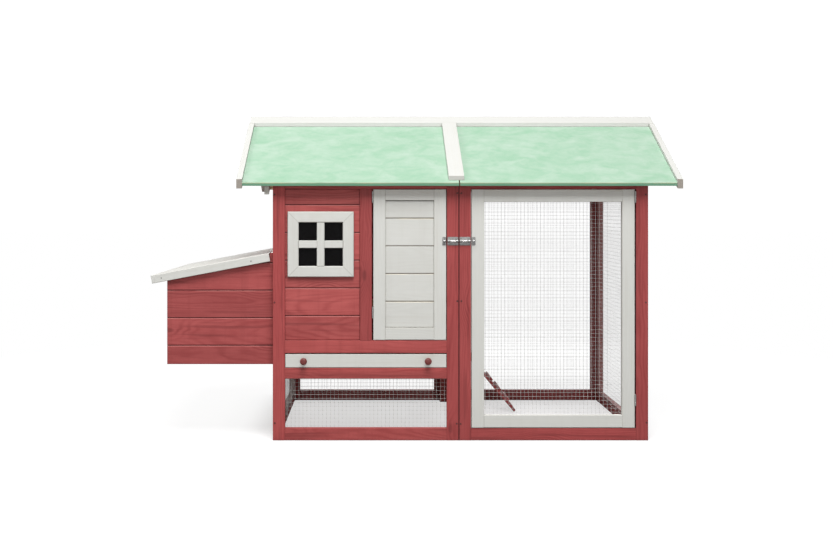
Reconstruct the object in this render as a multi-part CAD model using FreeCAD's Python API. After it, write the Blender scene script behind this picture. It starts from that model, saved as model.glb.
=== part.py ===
import FreeCAD, Part
import math
import os
from FreeCAD import Vector

# A chicken coop in flat-pack timber: a raised house with a nest box at its left end, and a
# wire run at its right end, all under one felted pitched roof.
# Here x runs from the house's left outer face to the right, y from the middle of the depth
# to the back, and z up from the ground. Every solid is moved along x as it is saved, so
# that the origin ends up under the middle of the whole coop. Sizes are in millimetres.

# Body
house_length = 598.0
run_length = 608.0
body_depth = 748.0
frame_height = 834.0

# Planed timber for frames
batten_w = 39.0
batten_t = 19.0
arris = 1.0

# Levels of the rails
bottom_rail_h = 39.0
under_gap_h = 159.0
lower_rail_h = 35.0
tray_slot_h = 47.0
floor_rail_h = 41.0
front_top_rail_h = 26.0
side_top_rail_h = 39.0

# Matchboarding
board_t = 10.0
board_pitch = 89.2
board_recess = 5.0
board_vee = 1.6
tongue_t = 3.2
tongue_h = 4.0
tongue_play = 0.2
least_board = 20.0

# First board joints above each panel's foot
front_first_joint = 78.0
door_first_joint = 83.0
rear_first_joint = 78.0
nest_first_joint = 60.0

# Window
window_from_post = 9.0
window_w = 212.0
window_h = 210.0
window_sill = 204.0
window_member = 35.0
window_bar = 24.0
window_t = 10.0
window_edge = 2.0
pane_lap = 8.0
pane_t = 2.0
pane_play = 1.0

# Doors
door_play = 2.0
house_door_rail_top = 35.0
house_door_rail_bottom = 39.0
run_door_member = 40.0

# Butt hinges
hinge_length = 36.0
hinge_leaf_w = 13.0
hinge_leaf_t = 1.2
hinge_barrel_r = 2.25
hinge_pin_r = 1.2
hinge_pin_proud = 0.6
running_fit = 0.05
knuckle_play = 0.4
leaf_play = 0.5
hinge_from_foot = 88.0
hinge_from_head = 24.0

# Barrel bolts
bolt_level = 640.0
bolt_r = 3.0
bolt_length = 30.0
bolt_throw = 14.0
bolt_plate_l = 35.0
bolt_plate_w = 27.0
bolt_plate_t = 1.2
bolt_wall = 1.4
bolt_strap_l = 8.0
bolt_inset = 2.0
bolt_tip_back = 1.0
bolt_lug_r = 2.2
bolt_lug_h = 9.0
bolt_fit = 0.1
keeper_l = 11.0
keeper_inset = 1.0

# Droppings tray
tray_play = 1.5
tray_front_t = 12.0
tray_lift = 1.0
tray_gap_above = 3.0
tray_base_t = 5.0
tray_wall_t = 9.0
tray_wall_h = 30.0
tray_back_gap = 6.0
runner_w = 32.0
runner_h = 19.0
knob_r = 11.5
knob_neck_r = 5.5
knob_length = 22.0
knob_head_l = 12.0
knob_flare = 4.0
knob_crown_r = 8.5
knob_from_edge = 59.0

# Perch
perch_size = 30.0
perch_round = 7.0
perch_level = 420.0
bracket_w = 54.0
bracket_t = 12.0
bracket_under = 18.0
perch_play = 1.0

# Wire mesh
mesh_pitch = 12.7
wire_t = 0.9
mesh_lap = 10.0

# Flats that stand for a small round bar or bore
round_sides = 8

# Pop hole and ramp
pop_hole_from_stile = 42.0
pop_hole_w = 162.0
pop_hole_h = 290.0
lining_t = 12.0
ramp_w = 150.0
ramp_foot_gap = 1.5
ramp_t = 9.0
ramp_slope = 50.0
ramp_drop = 21.0
ramp_hinge_play = 1.0
cleat_w = 12.0
cleat_t = 8.0
cleat_pitch = 48.0

# Roof
roof_slope = 29.5
roof_board_t = 8.0
felt_t = 1.2
felt_drop = 9.0
eave_overhang = 31.0
verge_overhang_left = 95.5
verge_overhang_right = 85.5
roof_seam = 3.0
verge_trim_t = 18.0
verge_trim_h = 26.0
verge_trim_proud = 10.0
ridge_board_w = 50.0
ridge_board_t = 12.0
ridge_board_back = 3.0
strip_w = 49.5
strip_t = 12.0
strip_offset = -9.0
strip_setback = 15.0
rafter_w = 15.0
rafter_h = 33.0
outer_rafter_gap = 11.0
rafter_play = 1.0
rafter_eave_back = 20.0

# Nest box
nest_length = 344.0
nest_inset = 26.0
nest_bottom = 241.0
nest_floor_t = 8.0
nest_floor_up = 4.0
nest_post = 19.0
divider_h = 150.0
lid_slope = 10.7
lid_length = 388.0
lid_board_t = 9.0
lid_board_count = 4
lid_trim_t = 12.0
lid_trim_h = 26.0
lid_side_play = 2.0
lid_hinge_out = 14.0
lid_hinge_level = 602.5
lid_hinge_play = 1.0
lid_hinge_inset = 48.0
hinge_rail_h = 25.0
hinge_rail_play = 1.0
head_rail_h = 39.0

# Worked out
body_length = house_length + run_length
front = -body_depth / 2
front_in = front + batten_t
back = body_depth / 2
back_in = back - batten_t
side_y = back_in - batten_w
lower_rail_z = bottom_rail_h + under_gap_h
tray_slot_z = lower_rail_z + lower_rail_h
floor_rail_z = tray_slot_z + tray_slot_h
floor_z = floor_rail_z + floor_rail_h
front_head_z = frame_height - front_top_rail_h
side_head_z = frame_height - side_top_rail_h
nest_width = body_depth - 2 * nest_inset
lid_hinge_y = nest_width / 2 - lid_hinge_inset
pop_hole_y = side_y - pop_hole_from_stile - lining_t - pop_hole_w / 2
house_in = house_length - batten_t
run_in = body_length - batten_t
house_middle = house_length / 2
hinge_gap = 2 * hinge_barrel_r
hinge_y = front - hinge_barrel_r
slope = math.radians(roof_slope)
eave_y = front - eave_overhang
roof_left = -verge_overhang_left
roof_right = body_length + verge_overhang_right
lid_angle = math.radians(lid_slope)
lid_reach = lid_length * math.cos(lid_angle) - hinge_barrel_r * math.sin(lid_angle)
coop_left = -lid_hinge_out - lid_reach
coop_right = roof_right + verge_trim_t
origin_shift = Vector(-(coop_left + coop_right) / 2, 0, 0)

RIGHT = Vector(1, 0, 0)
BACK = Vector(0, 1, 0)
UP = Vector(0, 0, 1)
saved = []


def save(node, *solids):
    """Write one node, moved to the coop's own origin."""
    moved = []
    for solid in solids:
        copy = solid.copy()
        copy.translate(origin_shift)
        moved.append(copy)
    shape = moved[0] if len(moved) == 1 else Part.makeCompound(moved)
    shape.exportStep("parts/" + node + ".step")
    saved.append(node)


def block(x0, x1, y0, y1, z0, z1):
    """A square-edged piece between two corners."""
    return Part.makeBox(x1 - x0, y1 - y0, z1 - z0, Vector(x0, y0, z0))


def batten(x0, x1, y0, y1, z0, z1, ease=arris):
    """Planed timber between two corners, with its four long edges eased."""
    solid = block(x0, x1, y0, y1, z0, z1)
    longest = max(x1 - x0, y1 - y0, z1 - z0)
    edges = [edge for edge in solid.Edges if abs(edge.Length - longest) < 1e-6]
    return solid.makeChamfer(ease, edges)


def prism(points, along):
    """A straight solid from an outline of points in one plane."""
    face = Part.Face(Part.makePolygon(points + points[:1]))
    return face.extrude(along)


def matchboard(corner, run, inward, length, height, tongue, groove):
    """One board with its outer edges vee'd, a tongue on top and a groove below."""
    near = (board_t - tongue_t) / 2
    far = (board_t + tongue_t) / 2
    outline = [(0, board_vee), (0, height - board_vee), (board_vee, height)]
    if tongue:
        outline += [(near, height), (near, height + tongue_h)]
        outline += [(far, height + tongue_h), (far, height)]
    outline += [(board_t, height), (board_t, 0)]
    if groove:
        deep = tongue_h + tongue_play
        outline += [(far + tongue_play, 0), (far + tongue_play, deep)]
        outline += [(near - tongue_play, deep), (near - tongue_play, 0)]
    outline.append((board_vee, 0))
    points = [corner + inward * depth + UP * rise for depth, rise in outline]
    return prism(points, run * length)


def matchboarding(corner, run, inward, length, height, first_joint):
    """Boards laid on each other from a panel's foot to its head."""
    joints = [0.0]
    joint = first_joint
    while joint < height - least_board:
        joints.append(joint)
        joint += board_pitch
    joints.append(height)
    boards = []
    for index in range(len(joints) - 1):
        foot = corner + UP * joints[index]
        rise = joints[index + 1] - joints[index]
        tongue = index < len(joints) - 2
        boards.append(matchboard(foot, run, inward, length, rise, tongue, index > 0))
    return boards


def joint_below(height):
    """First joint of boards that are to have another joint at this height."""
    rest = height % board_pitch
    return rest if rest >= least_board else rest + board_pitch


def cut_each(solids, *tools):
    """Cut tools out of every solid and return the pieces that are left."""
    left = []
    for solid in solids:
        for tool in tools:
            solid = solid.cut(tool)
        left += solid.Solids
    return left


def wire_comb(origin, across, rise, out, width, height):
    """Parallel wires one mesh apart, joined along their feet by the edge wire."""
    meshes = int((width - wire_t) / mesh_pitch)
    margin = (width - wire_t - meshes * mesh_pitch) / 2
    last = margin + meshes * mesh_pitch + wire_t
    outline = [(last, 0), (margin, 0), (margin, height), (margin + wire_t, height)]
    for index in range(1, meshes + 1):
        near = margin + index * mesh_pitch
        outline += [(near - mesh_pitch + wire_t, wire_t), (near, wire_t)]
        outline += [(near, height), (near + wire_t, height)]
    points = [origin + across * a + rise * b for a, b in outline]
    return prism(points, out * wire_t)


def wire_panel(origin, across, rise, out, width, height):
    """Welded square mesh: upright wires, and the wires welded across them."""
    uprights = wire_comb(origin, across, rise, out, width, height)
    crosses = wire_comb(origin + out * wire_t, rise, across, out, height, width)
    return [uprights, crosses]


def bar(radius, length, start, along):
    """A round bar as flats inside its circle."""
    return prism(ring_of_points(radius, start, along), along * length)


def bore(radius, length, start, along):
    """Room for a round bar: flats outside its circle, across from the bar's corners."""
    half_step = math.pi / round_sides
    reach = radius / math.cos(half_step)
    return prism(ring_of_points(reach, start, along, half_step), along * length)


def ring_of_points(radius, centre, along, turn=0.0):
    """Corners of a regular outline round a centre, square to the way along."""
    first = UP if abs(along.z) < 0.5 else RIGHT
    second = along.cross(first)
    corners = []
    for index in range(round_sides):
        angle = turn + 2 * math.pi * index / round_sides
        corners.append(centre + first * (radius * math.cos(angle))
                       + second * (radius * math.sin(angle)))
    return corners


def local_frame(point, first, second):
    """Placement whose x and y axes are the two directions given."""
    third = first.cross(second)
    return FreeCAD.Placement(FreeCAD.Matrix(
        first.x, second.x, third.x, point.x,
        first.y, second.y, third.y, point.y,
        first.z, second.z, third.z, point.z,
        0, 0, 0, 1))


def hinge_leaf(point, plate_way, seat_way, outer):
    """A butt hinge leaf: its plate runs along plate_way and lies on the face at seat_way."""
    third = hinge_length / 3
    middle = [(-third / 2, third / 2)]
    ends = [(-hinge_length / 2, -third / 2), (third / 2, hinge_length / 2)]
    own, other = (ends, middle) if outer else (middle, ends)
    leaf = block(0, hinge_leaf_w, hinge_barrel_r - hinge_leaf_t, hinge_barrel_r,
                 -hinge_length / 2, hinge_length / 2)
    for low, high in other:
        room = knuckle_play / 2
        clear = hinge_barrel_r + leaf_play
        leaf = leaf.cut(block(-clear, clear, -clear, clear, low - room, high + room))
    for low, high in own:
        foot = low if low == -hinge_length / 2 else low + knuckle_play / 2
        head = high if high == hinge_length / 2 else high - knuckle_play / 2
        leaf = leaf.fuse(bar(hinge_barrel_r, head - foot, Vector(0, 0, foot), UP))
    hole = bore(hinge_pin_r + running_fit, hinge_length, Vector(0, 0, -hinge_length / 2), UP)
    leaf = leaf.cut(hole).removeSplitter().Solids[0]
    leaf.Placement = local_frame(point, plate_way, seat_way)
    return leaf


def hinge_pin(point, axis):
    """The pin of a butt hinge, which stands a little proud at both ends."""
    length = hinge_length + 2 * hinge_pin_proud
    return bar(hinge_pin_r, length, point - axis * (length / 2), axis)


def arch(x0, x1, face_y, level, inner_r, outer_r, axis_out):
    """A strap over a round bolt: straight legs, a round top and a round hole."""
    centre_y = face_y - axis_out
    legs = block(x0, x1, centre_y, face_y, level - outer_r, level + outer_r)
    centre = Vector(x0, centre_y, level)
    top = bar(outer_r, x1 - x0, centre, RIGHT)
    past_face = block(x0, x1, face_y, face_y + outer_r, level - outer_r, level + outer_r)
    return legs.fuse(top).cut(past_face).cut(bore(inner_r, x1 - x0, centre, RIGHT))


def roof_outline(start_y, end_y, upper, lower):
    """Outline across the front slope between two offsets from the roof's underside."""
    points = []
    for y, offset in ((start_y, upper), (end_y, upper), (end_y, lower), (start_y, lower)):
        points.append((y, underside(y) + offset / math.cos(slope)))
    return points


def underside(y):
    """Level of the roof boards' lower face."""
    return frame_height + (body_depth / 2 - abs(y)) * math.tan(slope)


def slope_piece(x0, x1, outline, at_back=False):
    """A straight piece along x from its outline on the front slope, or its mirror image."""
    points = [Vector(x0, -y if at_back else y, z) for y, z in outline]
    return prism(points, RIGHT * (x1 - x0))


def both_slopes(x0, x1, outline):
    """The same piece on the front slope and on the back slope."""
    return [slope_piece(x0, x1, outline), slope_piece(x0, x1, outline, True)]


def build_house_front():
    """Posts, rails, boards and window of the house's front panel."""
    stile_x = house_middle - batten_w / 2
    posts = [batten(0, batten_w, front, front_in, 0, frame_height)]
    posts.append(batten(stile_x, stile_x + batten_w, front, front_in, floor_z, front_head_z))
    posts.append(batten(house_length - batten_w, house_length, front, front_in, 0, frame_height))
    save("house_front_posts", *posts)

    levels = [(0, bottom_rail_h), (lower_rail_z, tray_slot_z), (floor_rail_z, floor_z)]
    levels.append((front_head_z, frame_height))
    inner = house_length - batten_w
    rails = [batten(batten_w, inner, front, front_in, low, high) for low, high in levels]
    save("house_front_rails", *rails)

    window_x = batten_w + window_from_post
    window_z = floor_z + window_sill
    hole_in = window_member - pane_lap - pane_play
    hole = block(window_x + hole_in, window_x + window_w - hole_in, front, front_in,
                 window_z + hole_in, window_z + window_h - hole_in)
    face_y = front + board_recess
    boards = matchboarding(Vector(batten_w, face_y, floor_z), RIGHT, BACK,
                           stile_x - batten_w, front_head_z - floor_z, front_first_joint)
    save("house_front_boards", *cut_each(boards, hole))
    build_window(window_x, face_y, window_z)


def build_window(x, face_y, z):
    """Mitred frame planted on the boards, its glazing bars, and the clear sheet behind."""
    corners = [(0, 0), (window_w, 0), (window_w, window_h), (0, window_h)]
    inner = []
    for across, rise in corners:
        inner_x = window_member if across == 0 else window_w - window_member
        inner_z = window_member if rise == 0 else window_h - window_member
        inner.append((inner_x, inner_z))
    members = []
    for index in range(4):
        following = (index + 1) % 4
        outline = [corners[index], corners[following], inner[following], inner[index]]
        points = [Vector(x + a, face_y, z + b) for a, b in outline]
        member = prism(points, BACK * -window_t)
        outer_face = face_y - window_t
        long_edges = []
        for edge in member.Edges:
            at_front = abs(edge.CenterOfMass.y - outer_face) < 1e-6
            level = edge.tangentAt(edge.FirstParameter)
            if at_front and max(abs(level.x), abs(level.z)) > 0.999:
                long_edges.append(edge)
        members.append(member.makeChamfer(window_edge, long_edges))
    save("window_frame", *members)

    middle_x = x + window_w / 2
    middle_z = z + window_h / 2
    half = window_bar / 2
    low = z + window_member
    high = z + window_h - window_member
    left = x + window_member
    right = x + window_w - window_member
    outer_face = face_y - window_t
    bars = [batten(middle_x - half, middle_x + half, outer_face, face_y, low, high)]
    for start, end in ((left, middle_x - half), (middle_x + half, right)):
        bars.append(batten(start, end, outer_face, face_y, middle_z - half, middle_z + half))
    save("window_bars", *bars)
    lap = pane_lap
    save("window_pane", block(left - lap, right + lap, face_y, face_y + pane_t,
                              low - lap, high + lap))


def build_run_front():
    """Posts and rails round the run door."""
    x0 = house_length
    x1 = body_length
    posts = [batten(x0, x0 + batten_w, front, front_in, 0, frame_height)]
    posts.append(batten(x1 - batten_w, x1, front, front_in, 0, frame_height))
    inner = (x0 + batten_w, x1 - batten_w)
    rails = [batten(*inner, front, front_in, 0, bottom_rail_h)]
    rails.append(batten(*inner, front, front_in, front_head_z, frame_height))
    save("run_front_frame", *posts, *rails)
    joiners = []
    for near, far in ((front_in, -side_y), (side_y, back_in)):
        joiners.append(batten(x0, x0 + batten_t, near, far, 0, frame_height))
    save("run_joining_battens", *joiners)


def build_back():
    """Back frame of both modules, and the house's back boards."""
    posts = []
    for x in (0, house_length - batten_w, house_length, body_length - batten_w):
        posts.append(batten(x, x + batten_w, back_in, back, 0, frame_height))
    save("back_posts", *posts)
    house = (batten_w, house_length - batten_w)
    run = (house_length + batten_w, body_length - batten_w)
    rails = []
    for span in (house, run):
        rails.append(batten(*span, back_in, back, 0, bottom_rail_h))
        rails.append(batten(*span, back_in, back, front_head_z, frame_height))
    rails.append(batten(*house, back_in, back, lower_rail_z, floor_z))
    save("back_rails", *rails)
    foot = Vector(batten_w, back - board_recess, floor_z)
    boards = matchboarding(foot, RIGHT, BACK * -1, house[1] - house[0],
                           front_head_z - floor_z, rear_first_joint)
    save("back_boards", *boards)


def side_frame(x, levels):
    """Two stiles and the rails between them, at the levels given."""
    pieces = []
    for near, far in ((front_in, -side_y), (side_y, back_in)):
        pieces.append(batten(x, x + batten_t, near, far, 0, frame_height))
    for low, high in levels:
        pieces.append(batten(x, x + batten_t, -side_y, side_y, low, high))
    return pieces


def build_sides():
    """Left side with the nest opening, partition with the pop hole, and right side."""
    top_rail = (side_head_z, frame_height)
    plank = (lower_rail_z, floor_z)
    sill = (0, bottom_rail_h)
    nest_head = lid_hinge_level - hinge_barrel_r - hinge_rail_h
    head_rail = (nest_head, nest_head + head_rail_h)
    save("left_side_frame", *side_frame(0, [sill, plank, head_rail, top_rail]))
    foot = Vector(board_recess, -side_y, head_rail[1])
    height = side_head_z - head_rail[1]
    boards = matchboarding(foot, BACK, RIGHT, 2 * side_y, height, joint_below(height))
    save("left_side_boards", *boards)

    near = pop_hole_y - pop_hole_w / 2
    far = pop_hole_y + pop_hole_w / 2
    head = floor_z + pop_hole_h
    outer = (near - lining_t, far + lining_t, head + lining_t)
    hole = block(house_in, house_length, outer[0], outer[1], floor_z, outer[2])
    foot = Vector(house_length - board_recess, -side_y, floor_z)
    joint = joint_below(outer[2] - floor_z)
    boards = matchboarding(foot, BACK, RIGHT * -1, 2 * side_y, side_head_z - floor_z, joint)
    save("partition_boards", *cut_each(boards, hole))
    lining = [batten(house_in, house_length, outer[0], near, floor_z, head)]
    lining.append(batten(house_in, house_length, far, outer[1], floor_z, head))
    lining.append(batten(house_in, house_length, outer[0], outer[1], head, outer[2]))
    save("partition_frame", *side_frame(house_in, [plank, top_rail]), *lining)

    save("right_side_frame", *side_frame(run_in, [sill, top_rail]))


def build_gables():
    """Boards that fill the ends under the roof, cut to its slope."""
    height = underside(0) - frame_height
    under_roof = [Vector(-1, front_in, frame_height), Vector(-1, back_in, frame_height)]
    under_roof += [Vector(-1, back_in, underside(back_in)), Vector(-1, 0, underside(0))]
    under_roof += [Vector(-1, front_in, underside(front_in))]
    room = prism(under_roof, RIGHT * (body_length + 2))
    gables = []
    places = [(board_recess, RIGHT), (house_length - board_recess, RIGHT * -1)]
    places.append((body_length - board_recess, RIGHT * -1))
    for x, inward in places:
        foot = Vector(x, front_in, frame_height)
        boards = matchboarding(foot, BACK, inward, back_in - front_in, height, board_pitch)
        for board in boards:
            gables += board.common(room).Solids
    save("gable_boards", *gables)


def build_mesh():
    """Wire panels stapled behind the frames."""
    lap = mesh_lap
    house_w = house_length - 2 * batten_w + 2 * lap
    run_w = run_length - 2 * batten_w + 2 * lap
    side_w = 2 * side_y + 2 * lap
    under_h = under_gap_h + 2 * lap
    foot = bottom_rail_h - lap
    house_x = batten_w - lap
    run_x = house_length + batten_w - lap
    save("under_front_mesh", *wire_panel(Vector(house_x, front_in, foot), RIGHT, UP, BACK,
                                        house_w, under_h))
    save("under_back_mesh", *wire_panel(Vector(house_x, back_in, foot), RIGHT, UP, BACK * -1,
                                       house_w, under_h))
    save("under_left_mesh", *wire_panel(Vector(batten_t, -side_y - lap, foot), BACK, UP, RIGHT,
                                       side_w, under_h))
    run_h = front_head_z - bottom_rail_h + 2 * lap
    save("run_back_mesh", *wire_panel(Vector(run_x, back_in, foot), RIGHT, UP, BACK * -1,
                                     run_w, run_h))
    side_h = side_head_z - bottom_rail_h + 2 * lap
    save("run_side_mesh", *wire_panel(Vector(run_in, -side_y - lap, foot), BACK, UP, RIGHT * -1,
                                     side_w, side_h))


def build_house_door():
    """Boarded door, hung on the middle stile."""
    opening = house_middle + batten_w / 2
    x0 = opening + hinge_gap
    x1 = house_length - batten_w - door_play
    z0 = floor_z + door_play
    z1 = front_head_z - door_play
    low = z0 + house_door_rail_bottom
    high = z1 - house_door_rail_top
    inner = (x0 + batten_w, x1 - batten_w)
    frame = [batten(x0, inner[0], front, front_in, z0, z1)]
    frame.append(batten(inner[1], x1, front, front_in, z0, z1))
    frame.append(batten(*inner, front, front_in, z0, low))
    frame.append(batten(*inner, front, front_in, high, z1))
    save("house_door_frame", *frame)
    foot = Vector(inner[0], front + board_recess, low)
    boards = matchboarding(foot, RIGHT, BACK, inner[1] - inner[0], high - low, door_first_joint)
    save("house_door_boards", *boards)
    axis_x = opening + hinge_barrel_r
    levels = (z0 + hinge_from_foot, z1 - hinge_from_head)
    points = [Vector(axis_x, hinge_y, level) for level in levels]
    save("house_door_leaves", *[hinge_leaf(point, BACK, RIGHT, False) for point in points])
    fixed = [hinge_leaf(point, BACK, RIGHT * -1, True) for point in points]
    pins = [hinge_pin(point, UP) for point in points]
    save("house_door_keeper", keeper(x1 - keeper_inset - keeper_l, x1 - keeper_inset))
    return fixed, pins


def build_run_door():
    """Wire door, hung on the right-hand post."""
    opening = body_length - batten_w
    x0 = house_length + batten_w + door_play
    x1 = opening - hinge_gap
    z0 = bottom_rail_h + door_play
    z1 = front_head_z - door_play
    inner = (x0 + run_door_member, x1 - run_door_member)
    frame = [batten(x0, inner[0], front, front_in, z0, z1)]
    frame.append(batten(inner[1], x1, front, front_in, z0, z1))
    frame.append(batten(*inner, front, front_in, z0, z0 + run_door_member))
    frame.append(batten(*inner, front, front_in, z1 - run_door_member, z1))
    save("run_door_frame", *frame)
    lap = mesh_lap
    corner = Vector(inner[0] - lap, front_in, z0 + run_door_member - lap)
    wide = inner[1] - inner[0] + 2 * lap
    tall = z1 - z0 - 2 * run_door_member + 2 * lap
    save("run_door_mesh", *wire_panel(corner, RIGHT, UP, BACK, wide, tall))
    axis_x = opening - hinge_barrel_r
    levels = (z0 + hinge_from_foot, z1 - hinge_from_head)
    points = [Vector(axis_x, hinge_y, level) for level in levels]
    save("run_door_leaves", *[hinge_leaf(point, BACK, RIGHT * -1, False) for point in points])
    fixed = [hinge_leaf(point, BACK, RIGHT, True) for point in points]
    pins = [hinge_pin(point, UP) for point in points]
    save("run_door_keeper", keeper(x0 + keeper_inset, x0 + keeper_inset + keeper_l))
    return fixed, pins


def bolt_out():
    """Distance of a bolt's axis from the face that its plate lies on."""
    return bolt_plate_t + bolt_r + bolt_fit


def keeper(x0, x1):
    """Staple on a door that takes the end of the bolt."""
    half = bolt_plate_w / 2
    plate = block(x0, x1, front - bolt_plate_t, front, bolt_level - half, bolt_level + half)
    inner = bolt_r + bolt_fit
    staple = arch(x0, x1, front, bolt_level, inner, inner + bolt_wall, bolt_out())
    return plate.fuse(staple).removeSplitter().Solids[0]


def build_bolts():
    """Barrel bolts on the two posts at the seam: cases, and the bolts drawn back."""
    half = bolt_plate_w / 2
    inner = bolt_r + bolt_fit
    axis_y = front - bolt_out()
    cases = []
    edges = [(house_length - batten_w + bolt_inset, 1, "house_bolt")]
    edges.append((house_length + batten_w - bolt_inset, -1, "run_bolt"))
    for edge, way, node in edges:
        ends = sorted((edge, edge + way * bolt_plate_l))
        case = block(ends[0], ends[1], front - bolt_plate_t, front,
                     bolt_level - half, bolt_level + half)
        for strap in (ends[0], ends[1] - bolt_strap_l):
            case = case.fuse(arch(strap, strap + bolt_strap_l, front, bolt_level,
                                  inner, inner + bolt_wall, bolt_out()))
        cases.append(case.removeSplitter().Solids[0])
        tip = edge + way * bolt_tip_back
        start = min(tip, tip + way * bolt_length)
        rod = bar(bolt_r, bolt_length, Vector(start, axis_y, bolt_level), RIGHT)
        lug_x = edge + way * (bolt_strap_l + bolt_throw + bolt_lug_r + bolt_fit)
        lug = bar(bolt_lug_r, bolt_lug_h, Vector(lug_x, axis_y, bolt_level), BACK * -1)
        save(node, rod.fuse(lug).removeSplitter().Solids[0])
    save("bolt_cases", *cases)


def build_tray():
    """Pull-out droppings tray, with the runners that it slides on."""
    x0 = batten_w + tray_play
    x1 = house_length - batten_w - tray_play
    z0 = tray_slot_z + tray_lift
    z1 = floor_rail_z - tray_gap_above
    face_in = front + tray_front_t
    save("tray_front", batten(x0, x1, front, face_in, z0, z1))
    end = back_in - tray_back_gap
    wall_z = z0 + tray_base_t
    box = [block(x0, x1, face_in, end, z0, wall_z)]
    for left in (x0, x1 - tray_wall_t):
        box.append(block(left, left + tray_wall_t, face_in, end, wall_z, z0 + tray_wall_h))
    box.append(block(x0 + tray_wall_t, x1 - tray_wall_t, end - tray_wall_t, end,
                     wall_z, z0 + tray_wall_h))
    save("tray_box", *box)
    knobs = []
    for x in (x0 + knob_from_edge, x1 - knob_from_edge):
        knobs.append(knob(Vector(x, front, (z0 + z1) / 2)))
    save("tray_knobs", *knobs)
    runners = []
    for left in (batten_t, house_in - runner_w):
        runners.append(batten(left, left + runner_w, front_in, back_in,
                              tray_slot_z - runner_h, tray_slot_z))
    save("tray_runners", *runners)


def knob(foot):
    """A turned knob: a neck that flares into a broad head with a worn crown."""
    shoulder = knob_length - knob_head_l
    outline = [(0, 0), (knob_neck_r, 0), (knob_neck_r, shoulder)]
    outline += [(knob_r, shoulder + knob_flare), (knob_crown_r, knob_length)]
    outline.append((0, knob_length))
    points = [Vector(radius, 0, level) for radius, level in outline]
    face = Part.Face(Part.makePolygon(points + points[:1]))
    solid = face.revolve(Vector(0, 0, 0), UP, 360).Solids[0]
    solid.Placement = local_frame(foot, RIGHT, UP)
    return solid


def build_perch():
    """Rounded perch from front to back, dropped into two slotted brackets."""
    x0 = house_middle - perch_size / 2
    x1 = x0 + perch_size
    y0 = front_in + perch_play
    y1 = back - board_recess - board_t - perch_play
    perch = batten(x0, x1, y0, y1, perch_level, perch_level + perch_size, perch_round)
    save("perch", perch)
    left = house_middle - bracket_w / 2
    brackets = []
    for near in (front_in, back - board_recess - board_t - bracket_t):
        low = perch_level - bracket_under
        high = perch_level + perch_size
        bracket = block(left, left + bracket_w, near, near + bracket_t, low, high)
        slot = block(x0 - perch_play, x1 + perch_play, near, near + bracket_t,
                     perch_level, high)
        brackets.append(bracket.cut(slot))
    save("perch_brackets", *brackets)


def build_ramp():
    """Cleated ramp, hinged to the partition under the pop hole."""
    axis = Vector(house_length + hinge_barrel_r, pop_hole_y, floor_z - ramp_drop)
    top = axis.z - hinge_barrel_r
    near = pop_hole_y - ramp_w / 2
    far = pop_hole_y + ramp_w / 2
    start = axis.x + ramp_hinge_play
    angle = math.radians(ramp_slope)
    below = (hinge_barrel_r + ramp_t) * math.cos(angle)
    end = axis.x + (axis.z - below - ramp_foot_gap) / math.sin(angle)
    wall = block(house_in, house_length + ramp_hinge_play, near, far, lower_rail_z, floor_z)
    wall.rotate(axis, BACK, -ramp_slope)
    plank = batten(start, end, near, far, top - ramp_t, top).cut(wall)
    cleats = []
    position = start + hinge_leaf_w + cleat_pitch / 2
    while position < end - cleat_w:
        cleats.append(batten(position, position + cleat_w, near, far, top, top + cleat_t))
        position += cleat_pitch
    leaves = []
    fixed = []
    pins = []
    for y in (near + hinge_length, far - hinge_length):
        point = Vector(axis.x, y, axis.z)
        leaves.append(hinge_leaf(point, RIGHT, UP * -1, False))
        fixed.append(hinge_leaf(point, UP, RIGHT * -1, True))
        pins.append(hinge_pin(point, BACK))
    for node, pieces in (("ramp_plank", [plank]), ("ramp_cleats", cleats),
                         ("ramp_leaves", leaves)):
        for piece in pieces:
            piece.rotate(axis, BACK, ramp_slope)
        save(node, *pieces)
    return fixed, pins


def build_nest_box():
    """Nest box on the house's left side: walls, battens, floor and divider."""
    half = nest_width / 2
    lid = Vector(-lid_hinge_out, 0, lid_hinge_level)
    rail_top = lid.z - hinge_barrel_r
    rail_low = rail_top - hinge_rail_h
    lid_swing = (hinge_barrel_r + lid_board_t) * math.sin(lid_angle)
    rail_left = -lid_hinge_out + hinge_rail_play + lid_swing
    over = nest_length * 2
    above = block(-over, lid.x + over, -half - 1, half + 1,
                  rail_top - lid_board_t, rail_top + over)
    above.rotate(lid, BACK, -lid_slope)
    rail_room = block(rail_left, 1, -half - 1, half + 1, rail_low, rail_top + over)
    height = lid.z - nest_bottom
    left = Vector(-nest_length, 0, nest_bottom)
    sides = []
    for y, inward in ((-half, BACK), (half, BACK * -1)):
        corner = Vector(-nest_length, y, nest_bottom)
        boards = matchboarding(corner, RIGHT, inward, nest_length, height, nest_first_joint)
        sides += cut_each(boards, above, rail_room)
    save("nest_side_boards", *sides)
    corner = Vector(left.x, -half + board_t, nest_bottom)
    width = nest_width - 2 * board_t
    boards = matchboarding(corner, BACK, RIGHT, width, height, nest_first_joint)
    save("nest_end_boards", *cut_each(boards, above, rail_room))

    inner_x = -nest_length + board_t
    inner_y = half - board_t
    floor_low = nest_bottom + nest_floor_up
    floor_top = floor_low + nest_floor_t
    posts = []
    for x in (inner_x, -nest_post):
        for y in (-inner_y, inner_y - nest_post):
            post = batten(x, x + nest_post, y, y + nest_post, floor_top, height + nest_bottom)
            posts += cut_each([post], above, rail_room)
    save("nest_battens", *posts, batten(rail_left, 0, -half, half, rail_low, rail_top))
    save("nest_floor", block(inner_x, 0, -inner_y, inner_y, floor_low, floor_top))
    save("nest_divider", block(inner_x, -nest_post, -board_t / 2, board_t / 2,
                               floor_top, floor_top + divider_h))


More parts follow.
